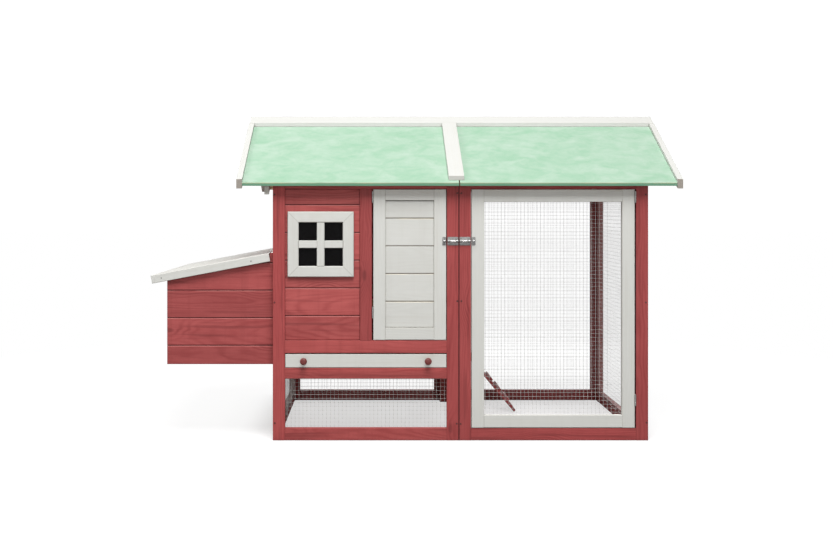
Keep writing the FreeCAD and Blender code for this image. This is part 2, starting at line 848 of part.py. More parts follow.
def build_lid():
    """Hinged lid of the nest box, with trims over its front, back and end edges."""
    axis = Vector(-lid_hinge_out, 0, lid_hinge_level)
    top = axis.z - hinge_barrel_r
    half = nest_width / 2 + lid_side_play
    start = axis.x - lid_hinge_play
    end = axis.x - lid_length
    inner_end = end + lid_trim_t
    boards = []
    board_w = (start - inner_end) / lid_board_count
    for index in range(lid_board_count):
        left = inner_end + index * board_w
        boards.append(batten(left, left + board_w, -half, half, top - lid_board_t, top))
    trims = []
    for near in (-half - lid_trim_t, half):
        trims.append(batten(end, start, near, near + lid_trim_t, top - lid_trim_h, top))
    trims.append(batten(end, inner_end, -half, half, top - lid_trim_h, top))
    leaves = []
    fixed = []
    pins = []
    for y in (-lid_hinge_y, lid_hinge_y):
        point = Vector(axis.x, y, axis.z)
        leaves.append(hinge_leaf(point, RIGHT * -1, UP * -1, False))
        fixed.append(hinge_leaf(point, RIGHT, UP * -1, True))
        pins.append(hinge_pin(point, BACK))
    for node, pieces in (("lid_boards", boards), ("lid_trims", trims), ("lid_leaves", leaves)):
        for piece in pieces:
            piece.rotate(axis, BACK, -lid_slope)
        save(node, *pieces)
    return fixed, pins


def build_roof():
    """Roof boards, felt, trims, ridge boards, cover strips and rafters."""
    seam = house_length
    halves = [(roof_left, seam - roof_seam / 2), (seam + roof_seam / 2, roof_right)]
    board_edge = eave_y + felt_t
    board = roof_outline(board_edge, 0, roof_board_t, 0)
    for x0, x1, side in ((*halves[0], "house"), (*halves[1], "run")):
        save(side + "_roof_boards", *both_slopes(x0, x1, board))

    cover = roof_board_t + felt_t
    upper = roof_outline(eave_y, 0, cover, roof_board_t)
    lip = upper[0][1] - felt_drop
    under_felt = underside(board_edge) + roof_board_t / math.cos(slope)
    felt = [upper[0], upper[1], upper[2], (board_edge, under_felt), (board_edge, lip)]
    felt.append((eave_y, lip))
    sheets = []
    for x0, x1 in halves:
        sheets += both_slopes(x0, x1, felt)
    save("roof_felt", *sheets)

    ridge_end = -ridge_board_w * math.cos(slope)
    trim_top = cover + verge_trim_proud
    trim = roof_outline(eave_y, ridge_end, trim_top, trim_top - verge_trim_h)
    trims = both_slopes(roof_left - verge_trim_t, roof_left, trim)
    trims += both_slopes(roof_right, roof_right + verge_trim_t, trim)
    save("verge_trims", *trims)

    ridge = roof_outline(ridge_end, 0, cover + ridge_board_t, cover)
    ridge_x0 = roof_left - verge_trim_t + ridge_board_back
    ridge_x1 = roof_right + verge_trim_t - ridge_board_back
    save("ridge_boards", *both_slopes(ridge_x0, ridge_x1, ridge))

    strip = roof_outline(eave_y + strip_setback, ridge_end, cover + strip_t, cover)
    strip_x = seam + strip_offset - strip_w / 2
    save("cover_strips", *both_slopes(strip_x, strip_x + strip_w, strip))

    outer = roof_outline(eave_y + rafter_eave_back, 0, 0, -rafter_h)
    inner = roof_outline(front_in + 2 * wire_t + rafter_play, 0, 0, -rafter_h)
    rafters = both_slopes(-outer_rafter_gap - rafter_w, -outer_rafter_gap, outer)
    inner_places = [batten_t + rafter_play, house_in - rafter_play - rafter_w]
    inner_places.append(house_length + batten_t + rafter_play)
    inner_places.append(run_in - rafter_play - rafter_w)
    for x in inner_places:
        rafters += both_slopes(x, x + rafter_w, inner)
    save("rafters", *rafters)


os.makedirs("parts", exist_ok=True)
build_house_front()
build_run_front()
build_back()
build_sides()
build_gables()
build_mesh()
fixed_leaves = []
hinge_pins = []
for build_moving in (build_house_door, build_run_door, build_lid, build_ramp):
    leaves, pins = build_moving()
    fixed_leaves += leaves
    hinge_pins += pins
save("fixed_hinge_leaves", *fixed_leaves)
save("hinge_pins", *hinge_pins)
build_bolts()
build_tray()
build_perch()
build_nest_box()
build_roof()
print(len(saved), "nodes")
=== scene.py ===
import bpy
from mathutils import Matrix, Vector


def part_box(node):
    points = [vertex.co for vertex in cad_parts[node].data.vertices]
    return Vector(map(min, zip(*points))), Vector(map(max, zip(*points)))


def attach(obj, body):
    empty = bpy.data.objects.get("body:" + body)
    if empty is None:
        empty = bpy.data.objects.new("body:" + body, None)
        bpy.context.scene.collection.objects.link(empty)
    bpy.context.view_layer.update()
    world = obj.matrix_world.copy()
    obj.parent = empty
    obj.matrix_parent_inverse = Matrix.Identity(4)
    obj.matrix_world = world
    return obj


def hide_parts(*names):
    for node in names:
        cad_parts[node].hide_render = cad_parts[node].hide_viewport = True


bl_info = {
    "name": "Chicken Coop Finishes",
    "version": (1, 0, 0),
    "blender": (4, 5, 0),
    "location": "3D View > Sidebar > Coop",
    "description": "Paint, felt, wire and ironmongery for a timber chicken coop with a run",
    "category": "Object",
}

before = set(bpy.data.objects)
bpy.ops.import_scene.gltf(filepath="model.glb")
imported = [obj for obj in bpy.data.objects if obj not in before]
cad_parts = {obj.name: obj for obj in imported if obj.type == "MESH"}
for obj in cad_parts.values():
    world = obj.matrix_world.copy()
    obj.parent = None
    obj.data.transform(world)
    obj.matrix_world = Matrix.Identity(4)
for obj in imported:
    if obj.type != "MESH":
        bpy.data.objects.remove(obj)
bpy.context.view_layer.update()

import math
import bpy
from bpy.props import FloatProperty, FloatVectorProperty, IntProperty, PointerProperty
from mathutils import Vector

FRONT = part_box("house_front_posts")[0].y
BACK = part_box("back_posts")[1].y
ROOF_SLOPE = math.radians(29.5)
LID_SLOPE = math.radians(10.7)
RAMP_SLOPE = math.radians(50.0)
FAR = 9.0
STILE_PITCH = 0.2
BATTEN = 0.039
BOARD_PITCH = 0.0892
RING_PITCH = 0.0066
SCREW_LEVELS = (0.055, 0.445, 0.792)
SCREW_INSET = 0.0065
NAIL_RADIUS = 0.0024
CASE_GAP = 0.004
PLATE_CORNER = 0.0022
PLATE_SCREW = 0.0017
PLATE_SCREW_IN = 0.0045
PLATE_SCREW_UP = 0.0031
STRAP_LENGTH = 0.008
STRAP_WALL = 0.0011
STRAP_FLANGE = 0.0028
STRAP_PLAY = 0.0015
LUG_FROM_EDGE = 0.0243
FELT_THICKNESS = 0.0012
FELT_PROUD = 0.0007
FELT_BEND = 0.0025
TURNS = {"-Y": (math.radians(90), 0, 0), "+Y": (math.radians(-90), 0, 0), "+Z": (0, 0, 0),
         "+X": (0, math.radians(90), 0), "-X": (0, math.radians(-90), 0)}
BLACK = (0.0, 0.0, 0.0, 1.0)
WHITE = (1.0, 1.0, 1.0, 1.0)


# Sizes and colours that a user would change

def colour_property(name, description, default):
    return FloatVectorProperty(name=name, description=description, default=default,
                               subtype="COLOR", size=3, min=0.0, max=1.0)


def length_property(name, description, default):
    return FloatProperty(name=name, description=description, default=default,
                         unit="LENGTH", subtype="DISTANCE", min=0.0, precision=4)


class CoopPaints(bpy.types.PropertyGroup):
    """Colours of the coop's paints, felt and metal"""
    red: colour_property("Red", "Red paint on the house and run", (0.545, 0.115, 0.108))
    red_grain: colour_property("Red Grain", "Red paint over late wood and in the pores",
                               (0.375, 0.060, 0.058))
    red_knot: colour_property("Red Knots", "Red paint over knots", (0.16, 0.024, 0.024))
    red_worn: colour_property("Red Worn", "Edges of the red paint", (0.27, 0.042, 0.04))
    white: colour_property("White", "White paint on doors, trims and window", (0.70, 0.70, 0.665))
    white_grain: colour_property("White Grain", "White paint over late wood", (0.60, 0.595, 0.55))
    white_knot: colour_property("White Knots", "Knots that show through the white",
                                (0.55, 0.51, 0.43))
    white_worn: colour_property("White Worn", "Rubbed edges of the white paint",
                                (0.64, 0.565, 0.42))
    pine: colour_property("Pine", "Bare planed pine", (0.66, 0.47, 0.28))
    pine_grain: colour_property("Pine Grain", "Late wood of the bare pine", (0.44, 0.25, 0.11))
    # Colour of cut ends, and also of the painted shade on the white pieces' undersides.
    end_grain_and_under_shade: colour_property("End Grain", "Cut ends that took little paint", (0.29, 0.25, 0.21))
    felt: colour_property("Felt", "Mineral felt on the roof", (0.29, 0.475, 0.335))
    felt_pale: colour_property("Felt Bloom", "Pale bloom on the felt", (0.42, 0.545, 0.445))
    knob: colour_property("Knob", "Dark red paint on the tray's knobs", (0.16, 0.03, 0.028))
    zinc: colour_property("Zinc", "Zinc plate on wire, bolts and hinges", (0.62, 0.62, 0.60))
    screw: colour_property("Screw", "Dark screws in the frame", (0.07, 0.05, 0.045))


class CoopSizes(bpy.types.PropertyGroup):
    """Sizes of the fitted pieces"""
    mesh_pitch: length_property("Mesh Pitch", "Spacing of the welded wires", 0.0127)
    wire: length_property("Wire", "Diameter of the mesh wire", 0.0007)
    wire_wander: length_property("Wire Wander", "How far a wire strays from straight", 0.0006)
    screw_head: length_property("Screw Head", "Diameter of the frame screws' heads", 0.0058)
    plate: length_property("Plate", "Thickness of the bolts' and hinges' plates", 0.0012)
    bolt: length_property("Bolt", "Diameter of the barrel bolts", 0.006)
    knob_sides: IntProperty(name="Knob Sides", description="Steps round a turned knob",
                            default=40, min=12, max=96)


class CoopStage(bpy.types.PropertyGroup):
    """Camera, floor and lights"""
    eye: FloatVectorProperty(name="Eye", description="Place of the camera", size=3,
                             default=(-0.1348, -3.882, 0.752), subtype="XYZ", unit="LENGTH")
    lens: FloatProperty(name="Lens", description="Focal length", default=47.2, unit="CAMERA")
    key: FloatProperty(name="Key", description="Power of the large soft light", default=264.0,
                       subtype="POWER", unit="POWER", min=0.0)
    ambient: FloatProperty(name="Ambient", description="Brightness of the surroundings",
                           default=0.21, min=0.0)
    floor: colour_property("Floor", "Pale floor", (0.92, 0.92, 0.92))
    clean: FloatProperty(name="Clean Floor", default=0.6, min=0.0, max=1.0,
                         description="How little shade the floor shows round the coop")


# Shader nodes

def fill(tree, sockets, values):
    """Link or set sockets."""
    for key, value in values.items():
        if isinstance(value, bpy.types.NodeSocket):
            tree.links.new(value, sockets[key])
        else:
            sockets[key].default_value = value


def node(tree, kind, values=None, **settings):
    """Add a node, set its options, and fill in or link its inputs."""
    made = tree.nodes.new("ShaderNode" + kind)
    for name, value in settings.items():
        setattr(made, name, value)
    fill(tree, made.inputs, values or {})
    return made


def maths(tree, operation, *values, clamp=False):
    made = node(tree, "Math", dict(enumerate(values)), operation=operation, use_clamp=clamp)
    return made.outputs[0]


def times(tree, first, second):
    return maths(tree, "MULTIPLY", first, second)


def times_plus(tree, first, second, third, clamp=False):
    """First times second, plus third."""
    return maths(tree, "MULTIPLY_ADD", first, second, third, clamp=clamp)


def minus(tree, first, second):
    return maths(tree, "SUBTRACT", first, second)


def absolute(tree, value):
    return maths(tree, "ABSOLUTE", value)


def place_in(tree):
    """Place of the shaded point, in metres."""
    return node(tree, "TexCoord").outputs["Object"]


def vectors(tree, operation, *values):
    made = node(tree, "VectorMath", dict(enumerate(values)), operation=operation)
    return made.outputs[1 if operation == "DOT_PRODUCT" else 0]


def blend(tree, factor, first, second):
    """Mix of two numbers."""
    made = node(tree, "Mix", {0: factor, 2: first, 3: second}, data_type="FLOAT")
    return made.outputs[0]


def blend_vectors(tree, factor, first, second):
    made = node(tree, "Mix", {0: factor, 4: first, 5: second}, data_type="VECTOR")
    return made.outputs[1]


def tint(tree, factor, first, second, way="MIX"):
    """Mix of two colours."""
    made = node(tree, "Mix", {0: factor, 6: first, 7: second}, data_type="RGBA", blend_type=way)
    return made.outputs[2]


def fit(tree, value, low, high, new_low=0.0, new_high=1.0, smooth=False):
    """Stretch a range of values to another one."""
    made = node(tree, "MapRange", {0: value, 1: low, 2: high, 3: new_low, 4: new_high})
    made.interpolation_type = "SMOOTHSTEP" if smooth else "LINEAR"
    return made.outputs[0]


def split(tree, vector):
    return node(tree, "SeparateXYZ", {0: vector}).outputs


def joined(tree, x, y, z):
    return node(tree, "CombineXYZ", {0: x, 1: y, 2: z}).outputs[0]


def noise(tree, vector, scale, detail=4.0, roughness=0.55, distortion=0.0):
    """Noise whose scale can differ along each axis."""
    stretched = vectors(tree, "MULTIPLY", vector, scale)
    made = node(tree, "TexNoise", {"Vector": stretched, "Scale": 1.0, "Detail": detail,
                                   "Roughness": roughness, "Distortion": distortion})
    return made.outputs[0]


def group_named(name, inputs, outputs, build):
    """The shader node group of that name, built the first time that it is asked for."""
    if name in bpy.data.node_groups:
        return bpy.data.node_groups[name]
    tree = bpy.data.node_groups.new(name, "ShaderNodeTree")
    for label, kind, default in inputs:
        socket = tree.interface.new_socket(name=label, in_out="INPUT",
                                           socket_type="NodeSocket" + kind)
        socket.default_value = default
    for label, kind in outputs:
        tree.interface.new_socket(name=label, in_out="OUTPUT", socket_type="NodeSocket" + kind)
    source = tree.nodes.new("NodeGroupInput").outputs
    sink = tree.nodes.new("NodeGroupOutput").inputs
    for label, value in build(tree, source).items():
        tree.links.new(value, sink[label])
    return tree


def placed(tree, group, values=None):
    """Place a group in a material or another group with its own values."""
    made = tree.nodes.new("ShaderNodeGroup")
    made.node_tree = group
    fill(tree, made.inputs, values or {})
    return made.outputs


def way_of_grain():
    """Which way the timber runs at each point of a frame, a stack of boards or a slope."""
    inputs = [("Rail Low", "Vector", (-FAR, -FAR, -FAR)), ("Rail High", "Vector", (FAR,) * 3),
              ("Fold", "Float", 0.0), ("Turn", "Vector", (0.0, 0.0, 0.0)),
              ("Depthwise", "Float", 0.0), ("Mitre", "Float", 0.0), ("Lying", "Float", 0.0),
              ("Board Foot", "Float", 0.0), ("Board Pitch", "Float", 0.3)]
    outputs = [("Vector", "Vector"), ("Piece", "Float"), ("End", "Float"),
               ("Above Joint", "Float"), ("Below Joint", "Float"), ("Heart", "Float"),
               ("Seam", "Float")]

    def build(tree, given):
        place = node(tree, "TexCoord").outputs
        x, y, z = split(tree, place["Object"])
        nx, ny, nz = split(tree, place["Normal"])
        folded = blend(tree, given["Fold"], y, absolute(tree, y))
        side = blend(tree, given["Fold"], 1.0, maths(tree, "SIGN", y))
        point = joined(tree, x, folded, z)
        facing = joined(tree, nx, times(tree, ny, side), nz)
        turned = []
        for vector in (point, facing):
            made = node(tree, "VectorRotate", {"Vector": vector, "Rotation": given["Turn"]},
                        rotation_type="EULER_XYZ")
            turned.append(made.outputs[0])
        x, y, z = split(tree, turned[0])
        nx, ny, nz = split(tree, turned[1])
        low = split(tree, given["Rail Low"])
        high = split(tree, given["Rail High"])
        inside = maths(tree, "GREATER_THAN", x, low[0])
        for test, value, limit in (("LESS_THAN", x, high[0]), ("GREATER_THAN", y, low[1]),
                                   ("LESS_THAN", y, high[1])):
            inside = times(tree, inside, maths(tree, test, value, limit))
        middle = vectors(tree, "SCALE", vectors(tree, "ADD", given["Rail Low"],
                                                given["Rail High"]))
        middle.node.inputs["Scale"].default_value = 0.5
        half = vectors(tree, "SUBTRACT", given["Rail High"], middle)
        off = vectors(tree, "ABSOLUTE", vectors(tree, "SUBTRACT", turned[0], middle))
        over = split(tree, vectors(tree, "SUBTRACT", off, half))
        mitred = maths(tree, "GREATER_THAN", over[2], over[0])
        inside = blend(tree, given["Mitre"], inside, mitred)
        apart = absolute(tree, minus(tree, over[2], over[0]))
        seam = times(tree, fit(tree, apart, 0.0008, 0.0026, 1.0, 0.0, True), given["Mitre"])
        deep = given["Depthwise"]
        rail = blend_vectors(tree, deep, joined(tree, x, z, y), joined(tree, y, z, x))
        post = blend_vectors(tree, deep, joined(tree, z, x, y), joined(tree, z, y, x))
        across = blend(tree, deep, minus(tree, x, low[0]), minus(tree, y, low[1]))
        flat = blend(tree, deep, y, x)
        level = minus(tree, blend(tree, given["Lying"], z, flat), given["Board Foot"])
        boards = maths(tree, "DIVIDE", level, given["Board Pitch"])
        board = maths(tree, "FLOOR", boards)
        up = times(tree, minus(tree, boards, board), given["Board Pitch"])
        stiles = maths(tree, "DIVIDE", across, STILE_PITCH)
        stile = maths(tree, "FLOOR", stiles)
        in_stile = times(tree, minus(tree, stiles, stile), STILE_PITCH)
        in_stile = minus(tree, in_stile, STILE_PITCH / 2)
        in_board = times_plus(tree, given["Board Pitch"], -0.5, up)
        ends = blend(tree, deep, absolute(tree, nx), absolute(tree, ny))
        ends = blend(tree, inside, absolute(tree, nz), ends)
        return {"Vector": blend_vectors(tree, inside, post, rail),
                "Piece": blend(tree, inside, maths(tree, "ADD", stile, 50.0), board),
                "Heart": blend(tree, inside, in_stile, in_board), "Seam": seam,
                "End": maths(tree, "GREATER_THAN", ends, 0.8), "Above Joint": up,
                "Below Joint": minus(tree, given["Board Pitch"], up)}

    return group_named("Way Of Grain", inputs, outputs, build)


def timber_grain():
    """Fibres, flat-sawn growth rings and knots of softwood along the first coordinate."""
    inputs = [("Vector", "Vector", (0.0, 0.0, 0.0)), ("Piece", "Float", 0.0),
              ("Heart", "Float", 0.0), ("Knots", "Float", 1.0)]
    outputs = [("Fibre", "Float"), ("Rings", "Float"), ("Knot", "Float"), ("Tone", "Float"),
               ("Patch", "Float"), ("Streak", "Float")]

    def build(tree, given):
        chance = node(tree, "TexWhiteNoise", {"W": given["Piece"]}, noise_dimensions="1D")
        shift = vectors(tree, "SCALE", chance.outputs["Color"])
        shift.node.inputs["Scale"].default_value = 7.0
        luck = split(tree, chance.outputs["Color"])
        point = vectors(tree, "ADD", given["Vector"], shift)
        fine = noise(tree, point, (6.0, 260.0, 260.0), 3.0, 0.6)
        broad = noise(tree, point, (2.2, 40.0, 40.0), 4.0, 0.6)
        cells = node(tree, "TexVoronoi", {
            "Vector": vectors(tree, "MULTIPLY", point, (5.0, 13.0, 0.0)),
            "Scale": 1.0, "Randomness": 0.9}).outputs
        near = cells["Distance"]
        grown = maths(tree, "GREATER_THAN", split(tree, cells["Color"])[0], 0.25)
        grown = times(tree, grown, given["Knots"])
        knot = times(tree, fit(tree, near, 0.05, 0.13, 1.0, 0.0, True), grown)
        halo = times(tree, fit(tree, near, 0.04, 0.5, 1.0, 0.0, True), grown)
        shade = times(tree, fit(tree, near, 0.08, 0.42, 1.0, 0.0, True), grown)
        along = split(tree, given["Vector"])[0]
        heart = times_plus(tree, minus(tree, luck[0], 0.5), 0.06, given["Heart"])
        lean = times(tree, minus(tree, luck[1], 0.5), 0.22)
        deep = times_plus(tree, luck[2], 0.05, 0.012)
        deep = times_plus(tree, along, lean, deep)
        reach = maths(tree, "SQRT", maths(tree, "ADD", times(tree, heart, heart),
                                          times(tree, deep, deep)))
        sway = noise(tree, point, (2.6, 12.0, 12.0), 3.0, 0.5)
        reach = times_plus(tree, sway, 0.042, reach)
        reach = times_plus(tree, halo, 0.017, reach)
        phase = times(tree, reach, 2 * math.pi / RING_PITCH)
        rings = maths(tree, "POWER", fit(tree, maths(tree, "SINE", phase), -1.0, 1.0), 1.8)
        bold = noise(tree, point, (3.0, 22.0, 22.0), 2.0, 0.5)
        rings = times(tree, rings, fit(tree, bold, 0.34, 0.64, 0.1, 1.0))
        patch = noise(tree, point, (5.5, 16.0, 16.0), 3.0, 0.55)
        streak = noise(tree, point, (3.4, 75.0, 75.0), 2.0, 0.5)
        fibre = times_plus(tree, fine, 0.5, times(tree, broad, 0.5))
        knot = maths(tree, "MAXIMUM", knot, times(tree, shade, times(tree, rings, 0.55)))
        return {"Fibre": fit(tree, fibre, 0.34, 0.66), "Rings": rings, "Knot": knot,
                "Tone": chance.outputs["Value"], "Patch": fit(tree, patch, 0.35, 0.68),
                "Streak": fit(tree, streak, 0.56, 0.72)}

    return group_named("Timber Grain", inputs, outputs, build)


def eased_edges():
    """Softened normal over sharp edges, a mask of edges, and masks of painted shade in crevices
    (from ambient occlusion) and on undersides.
    """
    inputs = [("Radius", "Float", 0.0012)]
    outputs = [("Normal", "Vector"), ("Edge", "Float"), ("Crevice Shade", "Float"), ("Underside Shade", "Float")]

    def build(tree, given):
        soft = node(tree, "Bevel", {"Radius": given["Radius"]}, samples=6).outputs[0]
        facing = node(tree, "NewGeometry").outputs["True Normal"]
        alike = vectors(tree, "DOT_PRODUCT", soft, facing)
        # Ambient occlusion over 14 mm: the crevice mask is painted shade where little light
        # reaches.
        open_air = node(tree, "AmbientOcclusion", {"Distance": 0.014}, samples=5).outputs["AO"]
        # Faces that point down are masked for painted shade on undersides.
        level = split(tree, node(tree, "TexCoord").outputs["Normal"])[2]
        return {"Normal": soft, "Edge": fit(tree, alike, 0.995, 0.86, 0.0, 1.0),
                "Crevice Shade": fit(tree, open_air, 0.70, 0.18),
                "Underside Shade": fit(tree, level, -0.25, -0.45)}

    return group_named("Eased Edges", inputs, outputs, build)


def weather():
    """Rain streaks that run down, broad stains, and splashes near the ground."""
    outputs = [("Streaks", "Float"), ("Stain", "Float"), ("Splash", "Float")]

    def build(tree, given):
        place = place_in(tree)
        streaks = fit(tree, noise(tree, place, (48.0, 48.0, 2.1), 3.0, 0.6), 0.5, 0.74)
        stain = noise(tree, place, (7.0, 7.0, 5.0), 4.0, 0.6, 0.4)
        low = fit(tree, split(tree, place)[2], 0.0, 0.075, 1.0, 0.0, True)
        speckle = fit(tree, noise(tree, place, (160.0,) * 3, 2.0), 0.48, 0.62)
        return {"Streaks": streaks, "Stain": fit(tree, stain, 0.42, 0.7),
                "Splash": times(tree, low, speckle)}

    return group_named("Weather", [], outputs, build)


def spangle():
    """Crystals and dull bloom of zinc."""
    inputs = [("Size", "Float", 900.0)]
    outputs = [("Crystals", "Float"), ("Bloom", "Float")]

    def build(tree, given):
        place = place_in(tree)
        cells = node(tree, "TexVoronoi", {"Vector": place, "Scale": given["Size"]})
        crystal = maths(tree, "FRACT", times(tree, split(tree, cells.outputs["Color"])[0], 3.0))
        bloom = noise(tree, place, (120.0,) * 3, 3.0, 0.6)
        return {"Crystals": crystal, "Bloom": fit(tree, bloom, 0.35, 0.68)}

    return group_named("Spangle", inputs, outputs, build)


def rgba(colour):
    return (colour[0], colour[1], colour[2], 1.0)


def new_material(name):
    """An empty material, its tree and its surface shader."""
    material = bpy.data.materials.new(name)
    material.use_nodes = True
    tree = material.node_tree
    shader = tree.nodes["Principled BSDF"]
    return material, tree, shader


def plug(tree, shader, **values):
    """Link or set the surface shader's sockets, named with underscores for spaces."""
    fill(tree, shader.inputs, {key.replace("_", " "): item for key, item in values.items()})


def coated(tree, colour, look, coats):
    """Lay colours of a finish over each other, each through its mask."""
    for mask, coat in coats:
        colour = tint(tree, mask, colour, rgba(look[coat]))
    return colour


def timber(name, look, way=None, raw_ends=0.0, knots=1.0, deep=(1.0, 1.0, 1.0), vees=0.0,
           butt=None):
    """Painted or bare timber whose grain follows the pieces, with painted shade in the vees,
    crevices and on undersides, and a painted highlight on the board lips.
    """
    material, tree, shader = new_material(name)
    lie = placed(tree, way_of_grain(), way)
    grain = placed(tree, timber_grain(), {"Vector": lie["Vector"], "Piece": lie["Piece"],
                                          "Heart": lie["Heart"], "Knots": knots})
    edges = placed(tree, eased_edges(), {"Radius": 0.0014})
    air = placed(tree, weather())
    lines = times(tree, grain["Rings"], look["rings"])
    lines = times_plus(tree, grain["Fibre"], look["fibre"], lines)
    lines = times_plus(tree, grain["Patch"], look["patch"], lines, clamp=True)
    colour = tint(tree, lines, rgba([a * b for a, b in zip(look["base"], deep)]),
                  rgba([a * b for a, b in zip(look["grain"], deep)]))
    coats = [(times(tree, grain["Streak"], look["sap"]), "knots"),
             (times(tree, grain["Knot"], look["knot"]), "knots")]
    colour = coated(tree, colour, look, coats)
    tone = fit(tree, grain["Tone"], 0.0, 1.0, 1.0 - look["tone"], 1.0 + look["tone"] / 2)
    colour = tint(tree, 1.0, colour, joined(tree, tone, tone, tone), "MULTIPLY")
    soil = times(tree, air["Streaks"], look["streak"])
    soil = times_plus(tree, air["Stain"], look["stain"], soil)
    soil = times_plus(tree, air["Splash"], look["splash"], soil, clamp=True)
    rubbed = times(tree, edges["Edge"], fit(tree, grain["Patch"], 0.0, 0.8))
    # Painted shade: the bottom edge of each board is darkened where the vee under it lies in
    # shade.
    shaded = fit(tree, lie["Above Joint"], 0.0022, 0.0050, vees, 0.0, True)
    # Painted highlight, partly bare wood: the top edge of the board below is lightened in patches
    # where its bevel faces up to the light.
    bare = fit(tree, lie["Below Joint"], 0.0014, 0.0036, vees * 0.8, 0.0, True)
    bare = times(tree, bare, fit(tree, grain["Patch"], 0.0, 0.4))
    coats = [(soil, "soil"), (times(tree, rubbed, look["wear"]), "worn"), (shaded, "vee"),
             (bare, "lit_lip_and_bare_wood"), (times(tree, lie["Seam"], 0.3), "vee")]
    # Painted shade: a dark line down the butt joint where the house and run posts meet, in the
    # crevice shade colour.
    if butt is not None:
        apart = absolute(tree, minus(tree, split(tree, place_in(tree))[0], butt))
        coats.append((fit(tree, apart, 0.0010, 0.0030, 0.9, 0.0, True), "crevice_shade"))
    coats += [(times(tree, lie["End"], raw_ends), "ends"),
              # Painted shade: faces that point down are darkened towards the ends colour, by the
              # under amount.
              (times(tree, edges["Underside Shade"], look["under"]), "ends"),
              # Painted shade: crevices are darkened towards the crevice shade colour.
              (times(tree, edges["Crevice Shade"], 0.85), "crevice_shade")]
    colour = coated(tree, colour, look, coats)
    height = times_plus(tree, grain["Rings"], 0.45, times(tree, grain["Fibre"], 0.55))
    bump = node(tree, "Bump", {"Strength": look["bump"], "Distance": 0.0006, "Height": height,
                               "Normal": edges["Normal"]}).outputs[0]
    rough = fit(tree, grain["Fibre"], 0.0, 1.0, look["gloss"], look["gloss"] + 0.16)
    plug(tree, shader, Base_Color=colour, Roughness=rough, Normal=bump, Specular_IOR_Level=0.35)
    return material


def looks(paints):
    """What sets the timber finishes apart."""
    red = {"base": paints.red, "grain": paints.red_grain, "knots": paints.red_knot,
           "worn": paints.red_worn, "soil": (0.30, 0.05, 0.048), "ends": (0.25, 0.06, 0.055),
           "rings": 0.50, "fibre": 0.24, "patch": 0.42, "knot": 0.62, "sap": 0.5, "tone": 0.15,
           "streak": 0.30, "stain": 0.22, "splash": 0.2, "wear": 0.6, "bump": 0.4,
           # vee is the painted shade in the board vees and also the colour of the mitre seams;
           # lit_lip_and_bare_wood is the painted highlight on the board lips, with some bare wood.
           "gloss": 0.52, "vee": (0.10, 0.015, 0.015), "lit_lip_and_bare_wood": (0.64, 0.22, 0.20),
           # crevice_shade is the colour of the painted shade in crevices and at the post butt.
           "under": 0.0, "crevice_shade": (0.05, 0.010, 0.011)}
    white = {"base": paints.white, "grain": paints.white_grain, "knots": paints.white_knot,
             "worn": paints.white_worn, "soil": (0.54, 0.525, 0.475),
             "ends": paints.end_grain_and_under_shade, "rings": 0.22, "fibre": 0.22, "patch": 0.12,
             "knot": 0.5, "sap": 0.12, "tone": 0.025, "streak": 0.14, "stain": 0.10, "splash": 0.1,
             "wear": 0.4, "bump": 0.22, "gloss": 0.45, "vee": (0.27, 0.25, 0.21),
             "lit_lip_and_bare_wood": (0.90, 0.84, 0.70), "under": 0.6, "crevice_shade": (0.16, 0.145, 0.125)}
    pine = {"base": paints.pine, "grain": paints.pine_grain, "knots": (0.20, 0.09, 0.035),
            "worn": paints.pine, "soil": (0.4, 0.28, 0.17), "ends": (0.5, 0.34, 0.2),
            "rings": 0.55, "fibre": 0.3, "patch": 0.1, "knot": 0.9, "sap": 0.2, "tone": 0.08,
            "streak": 0.05, "stain": 0.12, "splash": 0.1, "wear": 0.1, "bump": 0.35,
            "gloss": 0.62, "vee": (0.2, 0.1, 0.05), "lit_lip_and_bare_wood": paints.pine,
            "under": 0.0, "crevice_shade": (0.12, 0.07, 0.035)}
    return {"red": red, "white": white, "bare": pine}


def uprights():
    return {"Rail Low": (FAR, FAR, FAR), "Rail High": (FAR, FAR, FAR)}


def along_x(foot=0.0, pitch=0.3, lying=0.0):
    return {"Board Foot": foot, "Board Pitch": pitch, "Lying": lying}


def along_y(foot=0.0, pitch=0.3, lying=0.0, **more):
    return {"Depthwise": 1.0, "Board Foot": foot, "Board Pitch": pitch, "Lying": lying, **more}


def frame_x(name, member):
    """Rails between the uprights of a frame that faces the front."""
    low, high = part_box(name)
    return {"Rail Low": (low.x + member, -FAR, -FAR), "Rail High": (high.x - member, FAR, FAR),
            "Board Foot": low.z - 0.1, "Board Pitch": (high.z - low.z + 0.2) / 2}


def frame_y(name, member):
    """Rails between the uprights of a frame that faces the side."""
    low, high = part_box(name)
    return {"Rail Low": (-FAR, low.y + member, -FAR), "Rail High": (FAR, high.y - member, FAR),
            "Depthwise": 1.0, "Board Foot": low.z - 0.1, "Board Pitch": 0.22}


def dress(names, material):
    """Give CAD nodes one material in every slot."""
    for name in names.split():
        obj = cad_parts[name]
        if not obj.material_slots:
            obj.data.materials.append(material)
        for slot in obj.material_slots:
            slot.material = material


